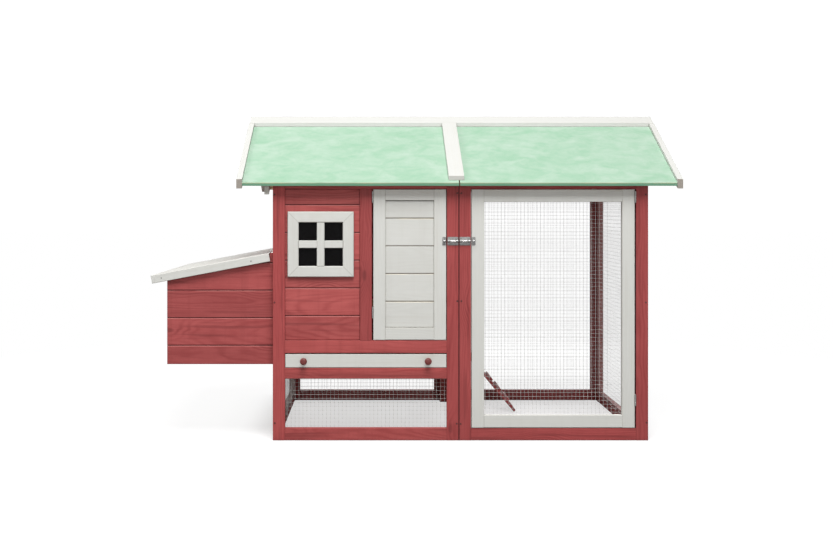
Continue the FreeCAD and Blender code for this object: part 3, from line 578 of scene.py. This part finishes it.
class COOP_OT_timber(bpy.types.Operator):
    """Paint the red and white timber and leave the pine bare"""
    bl_idname = "coop.timber"
    bl_label = "Paint Timber"

    def execute(self, context):
        look = looks(context.scene.coop_paints)

        def paint(names, finish, way, *more, **options):
            """Dress nodes in a finish; its name starts with what it is painted."""
            kind = finish.split("_")[0]
            dress(names, timber(finish, look[kind], way, *more, **options))

        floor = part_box("house_front_boards")[0].z
        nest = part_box("nest_side_boards")[0].z
        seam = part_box("run_front_frame")[0].x
        darker = (0.84, 0.72, 0.74)
        paint("house_front_posts back_posts run_joining_battens", "red_posts", uprights(),
              deep=darker, butt=seam)
        paint("house_front_rails back_rails", "red_rails", along_x(-0.02, 0.12),
              deep=(0.9, 0.84, 0.84))
        paint("house_front_boards back_boards", "red_house_boards",
              along_x(floor + 0.078, BOARD_PITCH), vees=0.9)
        paint("run_front_frame", "red_run_front", frame_x("run_front_frame", BATTEN),
              deep=darker, butt=seam)
        paint("left_side_frame partition_frame right_side_frame", "red_side_frames",
              frame_y("right_side_frame", BATTEN))
        for names, finish, foot in (
                ("left_side_boards", "red_side_boards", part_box("left_side_boards")[1].z),
                ("partition_boards", "red_partition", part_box("partition_boards")[1].z),
                ("gable_boards", "red_gables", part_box("gable_boards")[0].z),
                ("nest_end_boards", "red_nest_end", nest + 0.06)):
            paint(names, finish, along_y(foot, BOARD_PITCH), vees=0.9)
        paint("nest_side_boards", "red_nest_sides", along_x(nest + 0.06, BOARD_PITCH),
              deep=(0.88, 0.86, 0.88), vees=0.9)
        paint("nest_battens", "red_nest_battens", uprights())
        ramp = {"Turn": (0.0, -RAMP_SLOPE, 0.0)}
        paint("ramp_plank", "red_ramp", {**along_x(), **ramp})
        paint("ramp_cleats", "red_cleats", along_y(0.0, 0.03, 1.0))

        low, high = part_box("window_frame")
        mitre = {"Rail Low": tuple(low), "Rail High": tuple(high), "Mitre": 1.0}
        paint("window_frame", "white_window", mitre)
        low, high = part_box("window_bars")
        middle = (low + high) / 2
        cross = {"Rail Low": (low.x - 1, -FAR, -FAR), "Rail High": (middle.x - 0.012, FAR, FAR)}
        paint("window_bars", "white_window_bars", cross)
        paint("house_door_frame", "white_house_door", frame_x("house_door_frame", BATTEN))
        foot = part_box("house_door_boards")[0].z + 0.083
        paint("house_door_boards", "white_door_boards", along_x(foot, BOARD_PITCH), 0.0, 0.6,
              vees=1.0)
        paint("run_door_frame", "white_run_door", frame_x("run_door_frame", 0.04))
        paint("tray_front", "white_tray_front", along_x())
        lid = {"Turn": (0.0, LID_SLOPE, 0.0)}
        paint("lid_boards", "white_lid", along_y(0.0, 0.09, 1.0, **lid), 0.6)
        paint("lid_trims", "white_lid_trims", {**along_x(), **lid}, 0.35)
        slope = {"Fold": 1.0, "Turn": (ROOF_SLOPE, 0.0, 0.0)}
        # Painted shade: the white trims on top of the roof get a darker copy of the white, to
        # temper the strong light from above.
        top_shade = (0.92, 0.92, 0.93)
        whole = along_y(0.0, 9.0, 1.0, **slope)
        paint("verge_trims", "white_verges", whole, 0.85, deep=top_shade)
        paint("cover_strips", "white_strips", whole, 0.25, deep=top_shade)
        paint("rafters", "white_rafters", along_y(0.0, 0.3, 1.0, **slope), 0.3)
        paint("ridge_boards", "white_ridge", along_x(0.0, 9.0), 0.9, deep=top_shade)

        paint("tray_box tray_runners perch perch_brackets nest_floor", "bare_pine_deep",
              along_y(0.0, 0.12, 1.0))
        paint("nest_divider", "bare_pine_divider", along_x(0.0, 0.1))
        paint("house_roof_boards run_roof_boards", "bare_roof_boards",
              {**along_x(0.0, 0.115, 1.0), **slope})
        return {"FINISHED"}


# Pieces

def mode(name):
    bpy.ops.object.mode_set(mode=name)


def pick(*pieces):
    """Select only these pieces, the first one active."""
    if bpy.context.mode != "OBJECT":
        mode("OBJECT")
    bpy.ops.object.select_all(action="DESELECT")
    for piece in pieces:
        piece.select_set(True)
    if pieces:
        bpy.context.view_layer.objects.active = pieces[0]


def settle(obj, name, material=None):
    """Put a piece's place into its mesh, and name it."""
    pick(obj)
    bpy.ops.object.transform_apply(location=True, rotation=True, scale=True)
    obj.name = name
    obj.data.name = name
    if material:
        obj.data.materials.clear()
        obj.data.materials.append(material)
    return obj


def fuse(pieces, name):
    """Join pieces into one object with its place in its mesh."""
    pick(*pieces)
    bpy.ops.object.join()
    return settle(bpy.context.view_layer.objects.active, name)


def copied(piece, offset, name):
    """A copy with its own mesh, moved."""
    pick(piece)
    bpy.ops.object.duplicate(linked=False)
    made = bpy.context.view_layer.objects.active
    made.location = Vector(offset)
    return settle(made, name)


def hand_over(piece, body, replaced=None):
    """Attach a piece to the body it rides on, and hide the CAD node it replaces."""
    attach(piece, body)
    if replaced:
        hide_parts(replaced)


def apply_modifier(obj, kind, **settings):
    pick(obj)
    made = obj.modifiers.new(kind.title(), kind)
    for key, value in settings.items():
        setattr(made, key, value)
    bpy.ops.object.modifier_apply(modifier=made.name)
    return obj


def smooth(obj, angle=35.0):
    pick(obj)
    bpy.ops.object.shade_smooth_by_angle(angle=math.radians(angle))
    return obj


def pick_edges(obj, wanted):
    """Go into edit mode with only the edges selected that pass a test of their two ends."""
    pick(obj)
    mode("EDIT")
    bpy.ops.mesh.select_mode(type="EDGE")
    bpy.ops.mesh.select_all(action="DESELECT")
    mode("OBJECT")
    for side in obj.data.edges:
        side.select = wanted(*[obj.data.vertices[index].co for index in side.vertices])
    mode("EDIT")


def draw_out(step):
    """Extrude what is selected by a step."""
    bpy.ops.mesh.extrude_region_move(TRANSFORM_OT_translate={"value": step})


def slab(low, high, name, edge=0.0, corner=0.0, corner_axis=1):
    """A plate between two corners, with rounded corners and eased edges."""
    pick()
    middle = (Vector(low) + Vector(high)) / 2
    bpy.ops.mesh.primitive_cube_add(size=1.0, location=middle)
    obj = bpy.context.active_object
    obj.scale = Vector(high) - Vector(low)
    settle(obj, name)
    if corner:
        pick_edges(obj, lambda a, b: abs((b - a).normalized()[corner_axis]) > 0.9)
        bpy.ops.mesh.bevel(offset=corner, segments=4, affect="EDGES")
        mode("OBJECT")
    if edge:
        apply_modifier(obj, "BEVEL", width=edge, segments=2, limit_method="ANGLE",
                       angle_limit=math.radians(50))
    return smooth(obj)


def turned(profile, place, sides, name, axis="-Y"):
    """A turned piece: a disc drawn out and widened or narrowed step by step along an axis."""
    pick()
    bpy.ops.mesh.primitive_circle_add(vertices=sides, radius=profile[0][0], fill_type="NGON",
                                      location=(0, 0, profile[0][1]))
    obj = bpy.context.active_object
    bpy.ops.object.transform_apply(location=True)
    mode("EDIT")
    bpy.ops.mesh.select_all(action="SELECT")
    radius, level = profile[0]
    for next_radius, next_level in profile[1:]:
        draw_out((0, 0, next_level - level))
        share = next_radius / radius
        bpy.ops.transform.resize(value=(share, share, 1.0))
        radius, level = next_radius, next_level
    bpy.ops.mesh.select_all(action="SELECT")
    bpy.ops.mesh.normals_make_consistent(inside=False)
    mode("OBJECT")
    obj.rotation_euler = TURNS[axis]
    obj.location = Vector(place)
    return settle(obj, name)


def zinc_material(name, paints, size, rough, metal=1.0, shade=1.0, rounding=0.0):
    """Zinc-plated metal with a dull bloom."""
    material, tree, shader = new_material(name)
    crystals = placed(tree, spangle(), {"Size": size})
    base = tuple(channel * shade for channel in paints.zinc)
    dull = tuple(channel * 0.62 for channel in base)
    colour = tint(tree, crystals["Bloom"], rgba(base), rgba(dull))
    colour = tint(tree, times(tree, crystals["Crystals"], 0.2), colour, (0.8, 0.81, 0.82, 1.0))
    roughness = fit(tree, crystals["Bloom"], 0.0, 1.0, rough, rough + 0.22)
    bump = node(tree, "Bump", {"Strength": 0.15, "Distance": 0.0002,
                               "Height": crystals["Crystals"]})
    if rounding:
        soft = placed(tree, eased_edges(), {"Radius": rounding})["Normal"]
        tree.links.new(soft, bump.inputs["Normal"])
    plug(tree, shader, Base_Color=colour, Roughness=roughness, Metallic=metal,
         Normal=bump.outputs[0])
    return material


class COOP_OT_wire(bpy.types.Operator):
    """Weld round wires into the panels under the house and round the run"""
    bl_idname = "coop.wire"
    bl_label = "Weld Wire Panels"

    def execute(self, context):
        sizes = context.scene.coop_sizes
        material = zinc_material("galvanised_wire", context.scene.coop_paints, 1400.0, 0.5,
                                 0.05, 1.25)
        panels = {"under_front_mesh": "coop", "under_back_mesh": "coop",
                  "under_left_mesh": "coop", "run_back_mesh": "coop",
                  "run_side_mesh": "coop", "run_door_mesh": "run_door"}
        for seed, (name, body) in enumerate(panels.items()):
            panel = self.weld(name, sizes, seed)
            panel.data.materials.append(material)
            hand_over(panel, body, name)
        return {"FINISHED"}

    def weld(self, name, sizes, seed):
        low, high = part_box(name)
        size = high - low
        thin = 1 if size.y < size.x else 0
        flat = 1 - thin
        near, far = low[thin] + sizes.wire / 2, high[thin] - sizes.wire / 2
        if low[thin] > 0:
            near, far = far, near
        layers = []
        for run, step, depth in ((2, flat, near), (flat, 2, far)):
            layers.append(self.layer(low, high, run, step, thin, depth, sizes))
        panel = fuse(layers, name.replace("mesh", "wire_panel"))
        cloud = bpy.data.textures.new("wire_wander_" + str(seed), "CLOUDS")
        cloud.noise_scale = 0.07
        for way, axis in (("X" if flat == 0 else "Y", flat), ("Z", 2)):
            apply_modifier(panel, "DISPLACE", texture=cloud, texture_coords="LOCAL",
                           direction=way, strength=sizes.wire_wander, mid_level=0.5)
        return smooth(panel, 80.0)

    def layer(self, low, high, run, step, thin, depth, sizes):
        """Wires that run one way, a mesh apart, made from one wire."""
        length = high[run] - low[run]
        width = high[step] - low[step]
        count = int((width - sizes.wire) / sizes.mesh_pitch)
        margin = (width - count * sizes.mesh_pitch) / 2
        place = Vector((0, 0, 0))
        place[run] = low[run] + length / 2
        place[step] = low[step] + margin
        place[thin] = depth
        turn = [(0, math.radians(90), 0), (math.radians(90), 0, 0), (0, 0, 0)][run]
        pick()
        bpy.ops.mesh.primitive_cylinder_add(vertices=6, radius=sizes.wire / 2, depth=length,
                                            location=place, rotation=turn)
        wire = settle(bpy.context.active_object, "wire")
        pick_edges(wire, lambda a, b: (b - a).length > length / 2)
        bpy.ops.mesh.subdivide(number_cuts=max(3, int(length / 0.06)))
        mode("OBJECT")
        offset = Vector((0, 0, 0))
        offset[step] = sizes.mesh_pitch
        return apply_modifier(wire, "ARRAY", count=count + 1, use_relative_offset=False,
                              use_constant_offset=True, constant_offset_displace=offset)


class COOP_OT_knobs(bpy.types.Operator):
    """Turn the two knobs of the droppings tray"""
    bl_idname = "coop.knobs"
    bl_label = "Turn Knobs"

    def execute(self, context):
        paints = context.scene.coop_paints
        material, tree, shader = new_material("knob_paint")
        air = placed(tree, weather())
        place = place_in(tree)
        worn = noise(tree, place, (260.0,) * 3, 4.0, 0.6)
        colour = tint(tree, fit(tree, worn, 0.42, 0.7), rgba(paints.knob),
                      (0.30, 0.065, 0.058, 1.0))
        colour = tint(tree, times(tree, air["Stain"], 0.3), colour, (0.09, 0.02, 0.02, 1.0))
        bump = node(tree, "Bump", {"Strength": 0.2, "Distance": 0.0004, "Height": worn})
        plug(tree, shader, Base_Color=colour, Roughness=fit(tree, worn, 0.0, 1.0, 0.28, 0.5),
             Normal=bump.outputs[0])
        low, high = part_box("tray_knobs")
        radius = (high.z - low.z) / 2
        length = high.y - low.y
        level = (low.z + high.z) / 2
        neck = radius * 0.48
        profile = [(neck, 0.0), (neck, length * 0.40), (neck * 1.12, length * 0.46),
                   (radius * 0.8, length * 0.54), (radius * 0.97, length * 0.64),
                   (radius, length * 0.72), (radius * 0.97, length * 0.82),
                   (radius * 0.86, length * 0.91), (radius * 0.62, length * 0.97),
                   (radius * 0.3, length * 0.995), (radius * 0.05, length)]
        first = turned(profile, (low.x + radius, high.y, level),
                       context.scene.coop_sizes.knob_sides, "left_knob")
        smooth(first, 60.0)
        first.data.materials.append(material)
        other = copied(first, (high.x - low.x - 2 * radius, 0, 0), "right_knob")
        for knob in (first, other):
            hand_over(knob, "tray", "tray_knobs")
        return {"FINISHED"}


def screw_head(place, radius, name, axis="-Y", proud=0.0004):
    """A countersunk head with a cross cut into it."""
    profile = [(radius * 0.9, -0.0003), (radius, 0.0), (radius * 0.96, proud * 0.7),
               (radius * 0.7, proud)]
    head = turned(profile, (0, 0, 0), 16, name, "+Z")
    cutters = []
    for wide, deep in ((radius * 1.25, radius * 0.26), (radius * 0.26, radius * 1.25)):
        cutters.append(slab((-wide / 2, -deep / 2, -proud * 0.1), (wide / 2, deep / 2, 0.002),
                            name + "_cut"))
    for cutter in cutters:
        apply_modifier(head, "BOOLEAN", operation="DIFFERENCE", object=cutter)
    for cutter in cutters:
        bpy.data.objects.remove(cutter)
    head.rotation_euler = TURNS[axis]
    head.location = Vector(place)
    return settle(head, name)


def rows_of(first, columns, levels, name, sway=0.0):
    """A head and its copies in columns and rows, a little out of line."""
    heads = [first]
    for column in columns:
        for level in levels:
            if (column, level) != (columns[0], levels[0]):
                stray = sway * math.sin(37.0 * column + 91.0 * level)
                offset = (column - columns[0] + stray, 0, level - levels[0] + stray * 2)
                heads.append(copied(first, offset, name))
    return heads


class COOP_OT_screws(bpy.types.Operator):
    """Drive the frame screws and the lid's nails"""
    bl_idname = "coop.screws"
    bl_label = "Drive Screws"

    def execute(self, context):
        paints = context.scene.coop_paints
        sizes = context.scene.coop_sizes
        dark = self.metal("frame_screws", paints.screw)
        bright = self.metal("lid_nails", (0.35, 0.35, 0.34))
        low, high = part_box("house_front_posts")
        run_low, run_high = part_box("run_front_frame")
        columns = (low.x + SCREW_INSET, high.x - SCREW_INSET, run_low.x + SCREW_INSET,
                   run_high.x - SCREW_INSET)
        for side, face, axis, sway in (("front", FRONT, "-Y", 0.0012), ("back", BACK, "+Y", 0.0)):
            first = screw_head((columns[0], face, SCREW_LEVELS[0]), sizes.screw_head / 2,
                               side + "_screw", axis)
            first.data.materials.append(dark)
            heads = rows_of(first, columns, SCREW_LEVELS, side + "_screw", sway)
            hand_over(fuse(heads, side + "_frame_screws"), "coop")

        low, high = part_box("lid_trims")
        nail = screw_head((0, 0, 0), NAIL_RADIUS, "lid_nail", "-Y", 0.0003)
        nail.data.materials.append(bright)
        nails = []
        for share in (0.09, 0.84):
            x = low.x + share * (high.x - low.x)
            drop = 0.013 + (high.x - x) * math.tan(LID_SLOPE)
            nails.append(copied(nail, (x, low.y, high.z - drop), "lid_nail"))
        bpy.data.objects.remove(nail)
        hand_over(fuse(nails, "lid_nails"), "nest_lid")
        return {"FINISHED"}

    def metal(self, name, colour):
        material, tree, shader = new_material(name)
        marks = placed(tree, spangle(), {"Size": 2500.0})
        shade = tint(tree, marks["Bloom"], rgba(colour),
                     rgba([channel * 0.55 for channel in colour]))
        rough = fit(tree, marks["Bloom"], 0.0, 1.0, 0.4, 0.65)
        plug(tree, shader, Base_Color=shade, Roughness=rough, Metallic=0.6)
        return material


def strap(x0, x1, axis, radius, reach, flange, wall, name):
    """A strap bent over a bolt: half a tube, drawn back to the face and turned out."""
    pick()
    bpy.ops.mesh.primitive_cylinder_add(
        vertices=24, radius=radius, depth=x1 - x0, end_fill_type="NOTHING",
        location=((x0 + x1) / 2, axis.y, axis.z), rotation=(0, math.radians(90), 0))
    obj = settle(bpy.context.active_object, name)
    pick_edges(obj, lambda a, b: (a.y + b.y) / 2 > axis.y + radius * 0.01)
    bpy.ops.mesh.delete(type="EDGE")
    mode("OBJECT")
    near = radius * 0.05
    pick_edges(obj, lambda a, b: abs(a.y - axis.y) < near and abs(b.y - axis.y) < near
               and abs(a.z - b.z) < near)
    draw_out((0, reach, 0))
    mode("OBJECT")
    for way in (1, -1):
        pick_edges(obj, lambda a, b: min(a.y, b.y) > axis.y + reach - near
                   and min((a.z - axis.z) * way, (b.z - axis.z) * way) > radius - near)
        draw_out((0, 0, way * flange))
        mode("OBJECT")
    mode("EDIT")
    bpy.ops.mesh.select_all(action="SELECT")
    bpy.ops.mesh.normals_make_consistent(inside=False)
    front = min(obj.data.polygons, key=lambda face: face.center.y)
    if front.normal.y > 0:
        bpy.ops.mesh.flip_normals()
    mode("OBJECT")
    apply_modifier(obj, "SOLIDIFY", thickness=wall, offset=-1.0)
    apply_modifier(obj, "BEVEL", width=wall * 0.25, segments=2, limit_method="ANGLE",
                   angle_limit=math.radians(50))
    return smooth(obj)


class COOP_OT_ironmongery(bpy.types.Operator):
    """Finish the hinges and make the barrel bolts"""
    bl_idname = "coop.ironmongery"
    bl_label = "Fit Ironmongery"

    def execute(self, context):
        paints = context.scene.coop_paints
        sizes = context.scene.coop_sizes
        hinges = zinc_material("hinge_steel", paints, 700.0, 0.25, 1.0, 0.9, 0.0016)
        dress("fixed_hinge_leaves hinge_pins house_door_leaves run_door_leaves lid_leaves "
              "ramp_leaves", hinges)
        steel = zinc_material("zinc_steel", paints, 700.0, 0.3, 1.0, 0.5)
        bright = zinc_material("bolt_steel", paints, 700.0, 0.14, 1.0, 1.2)
        low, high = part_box("bolt_cases")
        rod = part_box("house_bolt")
        axis = Vector((0.0, rod[1].y - sizes.bolt / 2, (low.z + high.z) / 2))
        half = (high.x - low.x - CASE_GAP) / 2
        halves = (("house", low.x, low.x + half, 1), ("run", high.x - half, high.x, -1))
        for side, x0, x1, way in halves:
            edge = x0 if way > 0 else x1
            case = self.plate(x0, x1, axis, low, high, sizes, side + "_bolt_case", True)
            self.finish(case, steel, "coop", "bolt_cases")
            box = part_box(side + "_bolt")
            self.finish(self.bolt(box, axis, way, edge, sizes, side + "_barrel_bolt"), bright,
                        side + "_latch", side + "_bolt")
            node_name = side + "_door_keeper"
            low_k, high_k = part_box(node_name)
            keeper = self.plate(low_k.x, high_k.x, axis, low_k, high_k, sizes,
                                side + "_bolt_keeper", False)
            self.finish(keeper, steel, side + "_door", node_name)
        return {"FINISHED"}

    def plate(self, x0, x1, axis, low, high, sizes, name, paired):
        """A plate with one strap and one column of screws, or two of each."""
        face = high.y
        front = face - sizes.plate
        pieces = [slab((x0, front, low.z), (x1, face, high.z), name, sizes.plate * 0.2,
                       PLATE_CORNER)]
        reach = front - axis.y + 0.0004
        wide = min(STRAP_LENGTH, x1 - x0 - 0.001)
        middles = ((x0 + x1) / 2,)
        columns = middles
        if paired:
            middles = (x0 + wide / 2, x1 - wide / 2)
            columns = (x0 + PLATE_SCREW_IN, x1 - PLATE_SCREW_IN)
        for middle in middles:
            pieces.append(strap(middle - wide / 2, middle + wide / 2, axis,
                                sizes.bolt / 2 + STRAP_PLAY, reach, STRAP_FLANGE, STRAP_WALL,
                                name))
        levels = (low.z + PLATE_SCREW_UP, high.z - PLATE_SCREW_UP)
        first = screw_head((columns[0], front, levels[0]), PLATE_SCREW, name)
        return fuse(pieces + rows_of(first, columns, levels, name), name)

    def bolt(self, box, axis, way, edge, sizes, name):
        """A round bolt with a turned lug to push it by."""
        low, high = box
        length = high.x - low.x
        radius = sizes.bolt / 2
        start = low.x if way > 0 else high.x
        profile = [(radius * 0.55, 0.0), (radius * 0.85, 0.0005), (radius, 0.0014),
                   (radius, length - 0.0006), (radius * 0.8, length)]
        shaft = turned(profile, (start, axis.y, axis.z), 28, name, "+X" if way > 0 else "-X")
        stem = axis.y - low.y
        thick = radius * 0.73
        lug_profile = [(thick * 0.8, 0.0), (thick * 0.8, stem * 0.6), (thick, stem * 0.68),
                       (thick, stem * 0.9), (thick * 0.7, stem)]
        lug = turned(lug_profile, (edge + way * LUG_FROM_EDGE, axis.y, axis.z), 20, name, "-Y")
        return smooth(fuse([shaft, lug], name), 40.0)

    def finish(self, piece, material, body, replaced):
        piece.data.materials.clear()
        piece.data.materials.append(material)
        hand_over(piece, body, replaced)


class COOP_OT_felt(bpy.types.Operator):
    """Finish the roof felt, and the window's clear sheet tinted near-black as painted shade of the
    dim house behind it
    """
    bl_idname = "coop.felt"
    bl_label = "Lay Felt"

    def execute(self, context):
        paints = context.scene.coop_paints
        material, tree, shader = new_material("roof_felt")
        place = place_in(tree)
        cloud = noise(tree, place, (11.0, 17.0, 17.0), 6.0, 0.62, 0.6)
        patch = noise(tree, place, (34.0, 46.0, 46.0), 4.0, 0.6, 0.3)
        grit = noise(tree, place, (900.0,) * 3, 2.0, 0.6)
        bloom = times_plus(tree, fit(tree, patch, 0.35, 0.7), 0.35,
                      times(tree, fit(tree, cloud, 0.36, 0.68), 0.8), clamp=True)
        colour = tint(tree, bloom, rgba(paints.felt), rgba(paints.felt_pale))
        colour = tint(tree, fit(tree, grit, 0.3, 0.7, 0.12, 0.0), colour, (0.16, 0.33, 0.22, 1.0))
        # Painted shade: felt faces that turn away from the sky, such as the lip down the eave, are
        # darkened to deep green.
        lip_shade = fit(tree, split(tree, node(tree, "TexCoord").outputs["Normal"])[2],
                          0.75, 0.4, 0.0, 0.75)
        colour = tint(tree, lip_shade, colour, (0.06, 0.20, 0.11, 1.0))
        height = times_plus(tree, grit, 0.3, times(tree, cloud, 1.0))
        bump = node(tree, "Bump", {"Strength": 0.35, "Distance": 0.0012, "Height": height})
        plug(tree, shader, Base_Color=colour, Roughness=fit(tree, bloom, 0.0, 1.0, 0.7, 0.88),
             Normal=bump.outputs[0], Specular_IOR_Level=0.25)
        low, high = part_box("roof_felt")
        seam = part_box("house_roof_boards")[1].x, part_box("run_roof_boards")[0].x
        for half, x0, x1 in (("house", low.x, seam[0]), ("run", seam[1], high.x)):
            for slope, side in (("front", -1), ("back", 1)):
                sheet = self.sheet(x0, x1, side, low, high, half + "_" + slope + "_felt")
                sheet.data.materials.append(material)
                hand_over(sheet, "coop", "roof_felt")
        pane, tree, shader = new_material("clear_sheet")
        place = place_in(tree)
        smear = noise(tree, place, (45.0,) * 3, 3.0)
        # Near-black tint that lets little light through: painted shade standing in for the dim
        # inside of the house.
        plug(tree, shader, Base_Color=(0.022, 0.020, 0.022, 1.0), IOR=1.12,
             Roughness=fit(tree, smear, 0.3, 0.7, 0.03, 0.09), Transmission_Weight=0.85,
             Specular_IOR_Level=0.08)
        dress("window_pane", pane)
        return {"FINISHED"}

    def sheet(self, x0, x1, side, low, high, name):
        """Felt over one slope, a little uneven, and turned down over the eave."""
        depth = high.y - FELT_PROUD - FELT_BEND
        pick()
        bpy.ops.mesh.primitive_grid_add(
            x_subdivisions=64, y_subdivisions=40, size=1.0,
            location=((x0 + x1) / 2, side * depth / 2,
                      high.z - FELT_PROUD - depth / 2 * math.tan(ROOF_SLOPE)),
            rotation=(-side * ROOF_SLOPE, 0, 0))
        obj = bpy.context.active_object
        obj.scale = (x1 - x0 - 0.0006, depth / math.cos(ROOF_SLOPE), 1.0)
        settle(obj, name)
        edge = depth
        for out, down in ((FELT_BEND * 0.7, 0.0019), (FELT_BEND * 0.3, 0.0022), (0.0, 0.0072)):
            pick_edges(obj, lambda a, b: min(a.y * side, b.y * side) > edge - 0.0001)
            draw_out((0, side * out, -down))
            mode("OBJECT")
            edge += out
        mode("EDIT")
        bpy.ops.mesh.select_all(action="SELECT")
        bpy.ops.mesh.normals_make_consistent(inside=False)
        if obj.data.polygons[0].normal.z < 0:
            bpy.ops.mesh.flip_normals()
        mode("OBJECT")
        apply_modifier(obj, "SOLIDIFY", thickness=FELT_THICKNESS, offset=-1.0)
        waves = bpy.data.textures.new(name + "_waves", "CLOUDS")
        waves.noise_scale = 0.11
        apply_modifier(obj, "DISPLACE", texture=waves, texture_coords="LOCAL",
                       direction="Z", strength=0.0011, mid_level=0.4)
        return smooth(obj, 50.0)


class COOP_OT_stage(bpy.types.Operator):
    """Set up the floor, the lights and the camera"""
    bl_idname = "coop.stage"
    bl_label = "Set Stage"

    def execute(self, context):
        scene = context.scene
        stage = scene.coop_stage
        material, tree, shader = new_material("pale_floor")
        place = place_in(tree)
        cloud = noise(tree, place, (2.0,) * 3, 2.0)
        shade = tint(tree, cloud, rgba(stage.floor), (0.9, 0.9, 0.9, 1.0))
        reach = node(tree, "VectorMath", {0: place}, operation="LENGTH").outputs["Value"]
        far = fit(tree, reach, 1.1, 2.6, 0.0, 1.0, True)
        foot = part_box("house_front_posts")[0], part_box("run_front_frame")[1]
        x, y = split(tree, place)[:2]
        beside = absolute(tree, minus(tree, x, (foot[0].x + foot[1].x) / 2))
        beside = minus(tree, beside, (foot[1].x - foot[0].x) / 2)
        before = maths(tree, "ADD", absolute(tree, y), FRONT)
        outside = maths(tree, "MAXIMUM", beside, before)
        outside = fit(tree, outside, -0.01, 0.14, 0.0, stage.clean, True)
        far = maths(tree, "MAXIMUM", far, outside)
        glow = fit(tree, far, 0.0, 1.0, 0.585, 1.05)
        dimmed = fit(tree, far, 0.0, 1.0, 0.52, 0.0)
        plug(tree, shader, Roughness=0.8, Specular_IOR_Level=0.0,
             Base_Color=tint(tree, dimmed, BLACK, shade),
             Emission_Color=tint(tree, glow, BLACK, WHITE),
             Emission_Strength=1.0)
        dull = node(tree, "BsdfDiffuse", {"Color": (0.3, 0.3, 0.3, 1.0)}).outputs[0]
        seen = node(tree, "LightPath").outputs["Is Camera Ray"]
        both = node(tree, "MixShader", {0: seen, 1: dull, 2: shader.outputs[0]}).outputs[0]
        tree.links.new(both, tree.nodes["Material Output"].inputs["Surface"])
        pick()
        bpy.ops.mesh.primitive_plane_add(size=60.0, location=(0, 0, -0.0006))
        floor = settle(bpy.context.active_object, "floor")
        floor.data.materials.append(material)

        world = bpy.data.worlds.new("surroundings")
        world.use_nodes = True
        scene.world = world
        tree = world.node_tree
        sky = tree.nodes["Background"]
        seen = node(tree, "LightPath").outputs["Is Camera Ray"]
        sky.inputs["Color"].default_value = WHITE
        tree.links.new(blend(tree, seen, stage.ambient, 1.05), sky.inputs["Strength"])

        self.lamp("key", (0.2, -2.7, 4.75), (2.8, 2.5), stage.key, (0.0, -0.37, 0.7))
        self.lamp("fill", (0.5, -5.2, 1.1), (4.0, 2.0), stage.key * 0.165, (0.0, 0.0, 0.4))
        self.lamp("side", (-3.2, -0.7, 3.0), (1.8, 1.8), stage.key * 0.2, (-0.6, 0.0, 0.5))
        self.lamp("back", (0.6, 4.8, 2.0), (3.4, 1.8), stage.key * 0.36, (0.0, 0.0, 0.5))

        camera = bpy.data.cameras.new("camera")
        camera.lens = stage.lens
        camera.sensor_width = 36.0
        camera.shift_x = 0.052
        camera.shift_y = -0.0855
        viewer = bpy.data.objects.new("camera", camera)
        viewer.location = stage.eye
        viewer.rotation_euler = (math.radians(90), 0, 0)
        scene.collection.objects.link(viewer)
        scene.camera = viewer
        scene.view_settings.view_transform = "Standard"
        return {"FINISHED"}

    def lamp(self, name, place, size, power, target):
        light = bpy.data.lights.new(name, "AREA")
        light.shape = "RECTANGLE"
        light.size, light.size_y = size
        light.energy = power
        obj = bpy.data.objects.new(name, light)
        obj.location = place
        aim = Vector(target) - Vector(place)
        obj.rotation_euler = aim.to_track_quat("-Z", "Y").to_euler()
        bpy.context.scene.collection.objects.link(obj)


class COOP_PT_panel(bpy.types.Panel):
    """Lists the steps that finish the coop"""
    bl_idname = "COOP_PT_panel"
    bl_label = "Chicken Coop"
    bl_space_type = "VIEW_3D"
    bl_region_type = "UI"
    bl_category = "Coop"

    def draw(self, context):
        layout = self.layout
        for step in STEPS:
            layout.operator(step.bl_idname)
        for group in (context.scene.coop_paints, context.scene.coop_sizes,
                      context.scene.coop_stage):
            box = layout.box()
            for name in group.__annotations__:
                box.prop(group, name)


STEPS = (COOP_OT_timber, COOP_OT_felt, COOP_OT_wire, COOP_OT_knobs, COOP_OT_ironmongery,
         COOP_OT_screws, COOP_OT_stage)
CLASSES = (CoopPaints, CoopSizes, CoopStage) + STEPS + (COOP_PT_panel,)


def register():
    for item in CLASSES:
        bpy.utils.register_class(item)
    bpy.types.Scene.coop_paints = PointerProperty(type=CoopPaints)
    bpy.types.Scene.coop_sizes = PointerProperty(type=CoopSizes)
    bpy.types.Scene.coop_stage = PointerProperty(type=CoopStage)


def unregister():
    del bpy.types.Scene.coop_stage
    del bpy.types.Scene.coop_sizes
    del bpy.types.Scene.coop_paints
    for item in reversed(CLASSES):
        bpy.utils.unregister_class(item)


def main():
    register()
    for step in STEPS:
        group, name = step.bl_idname.split(".")
        getattr(getattr(bpy.ops, group), name)()


if __name__ == "__main__":
    main()
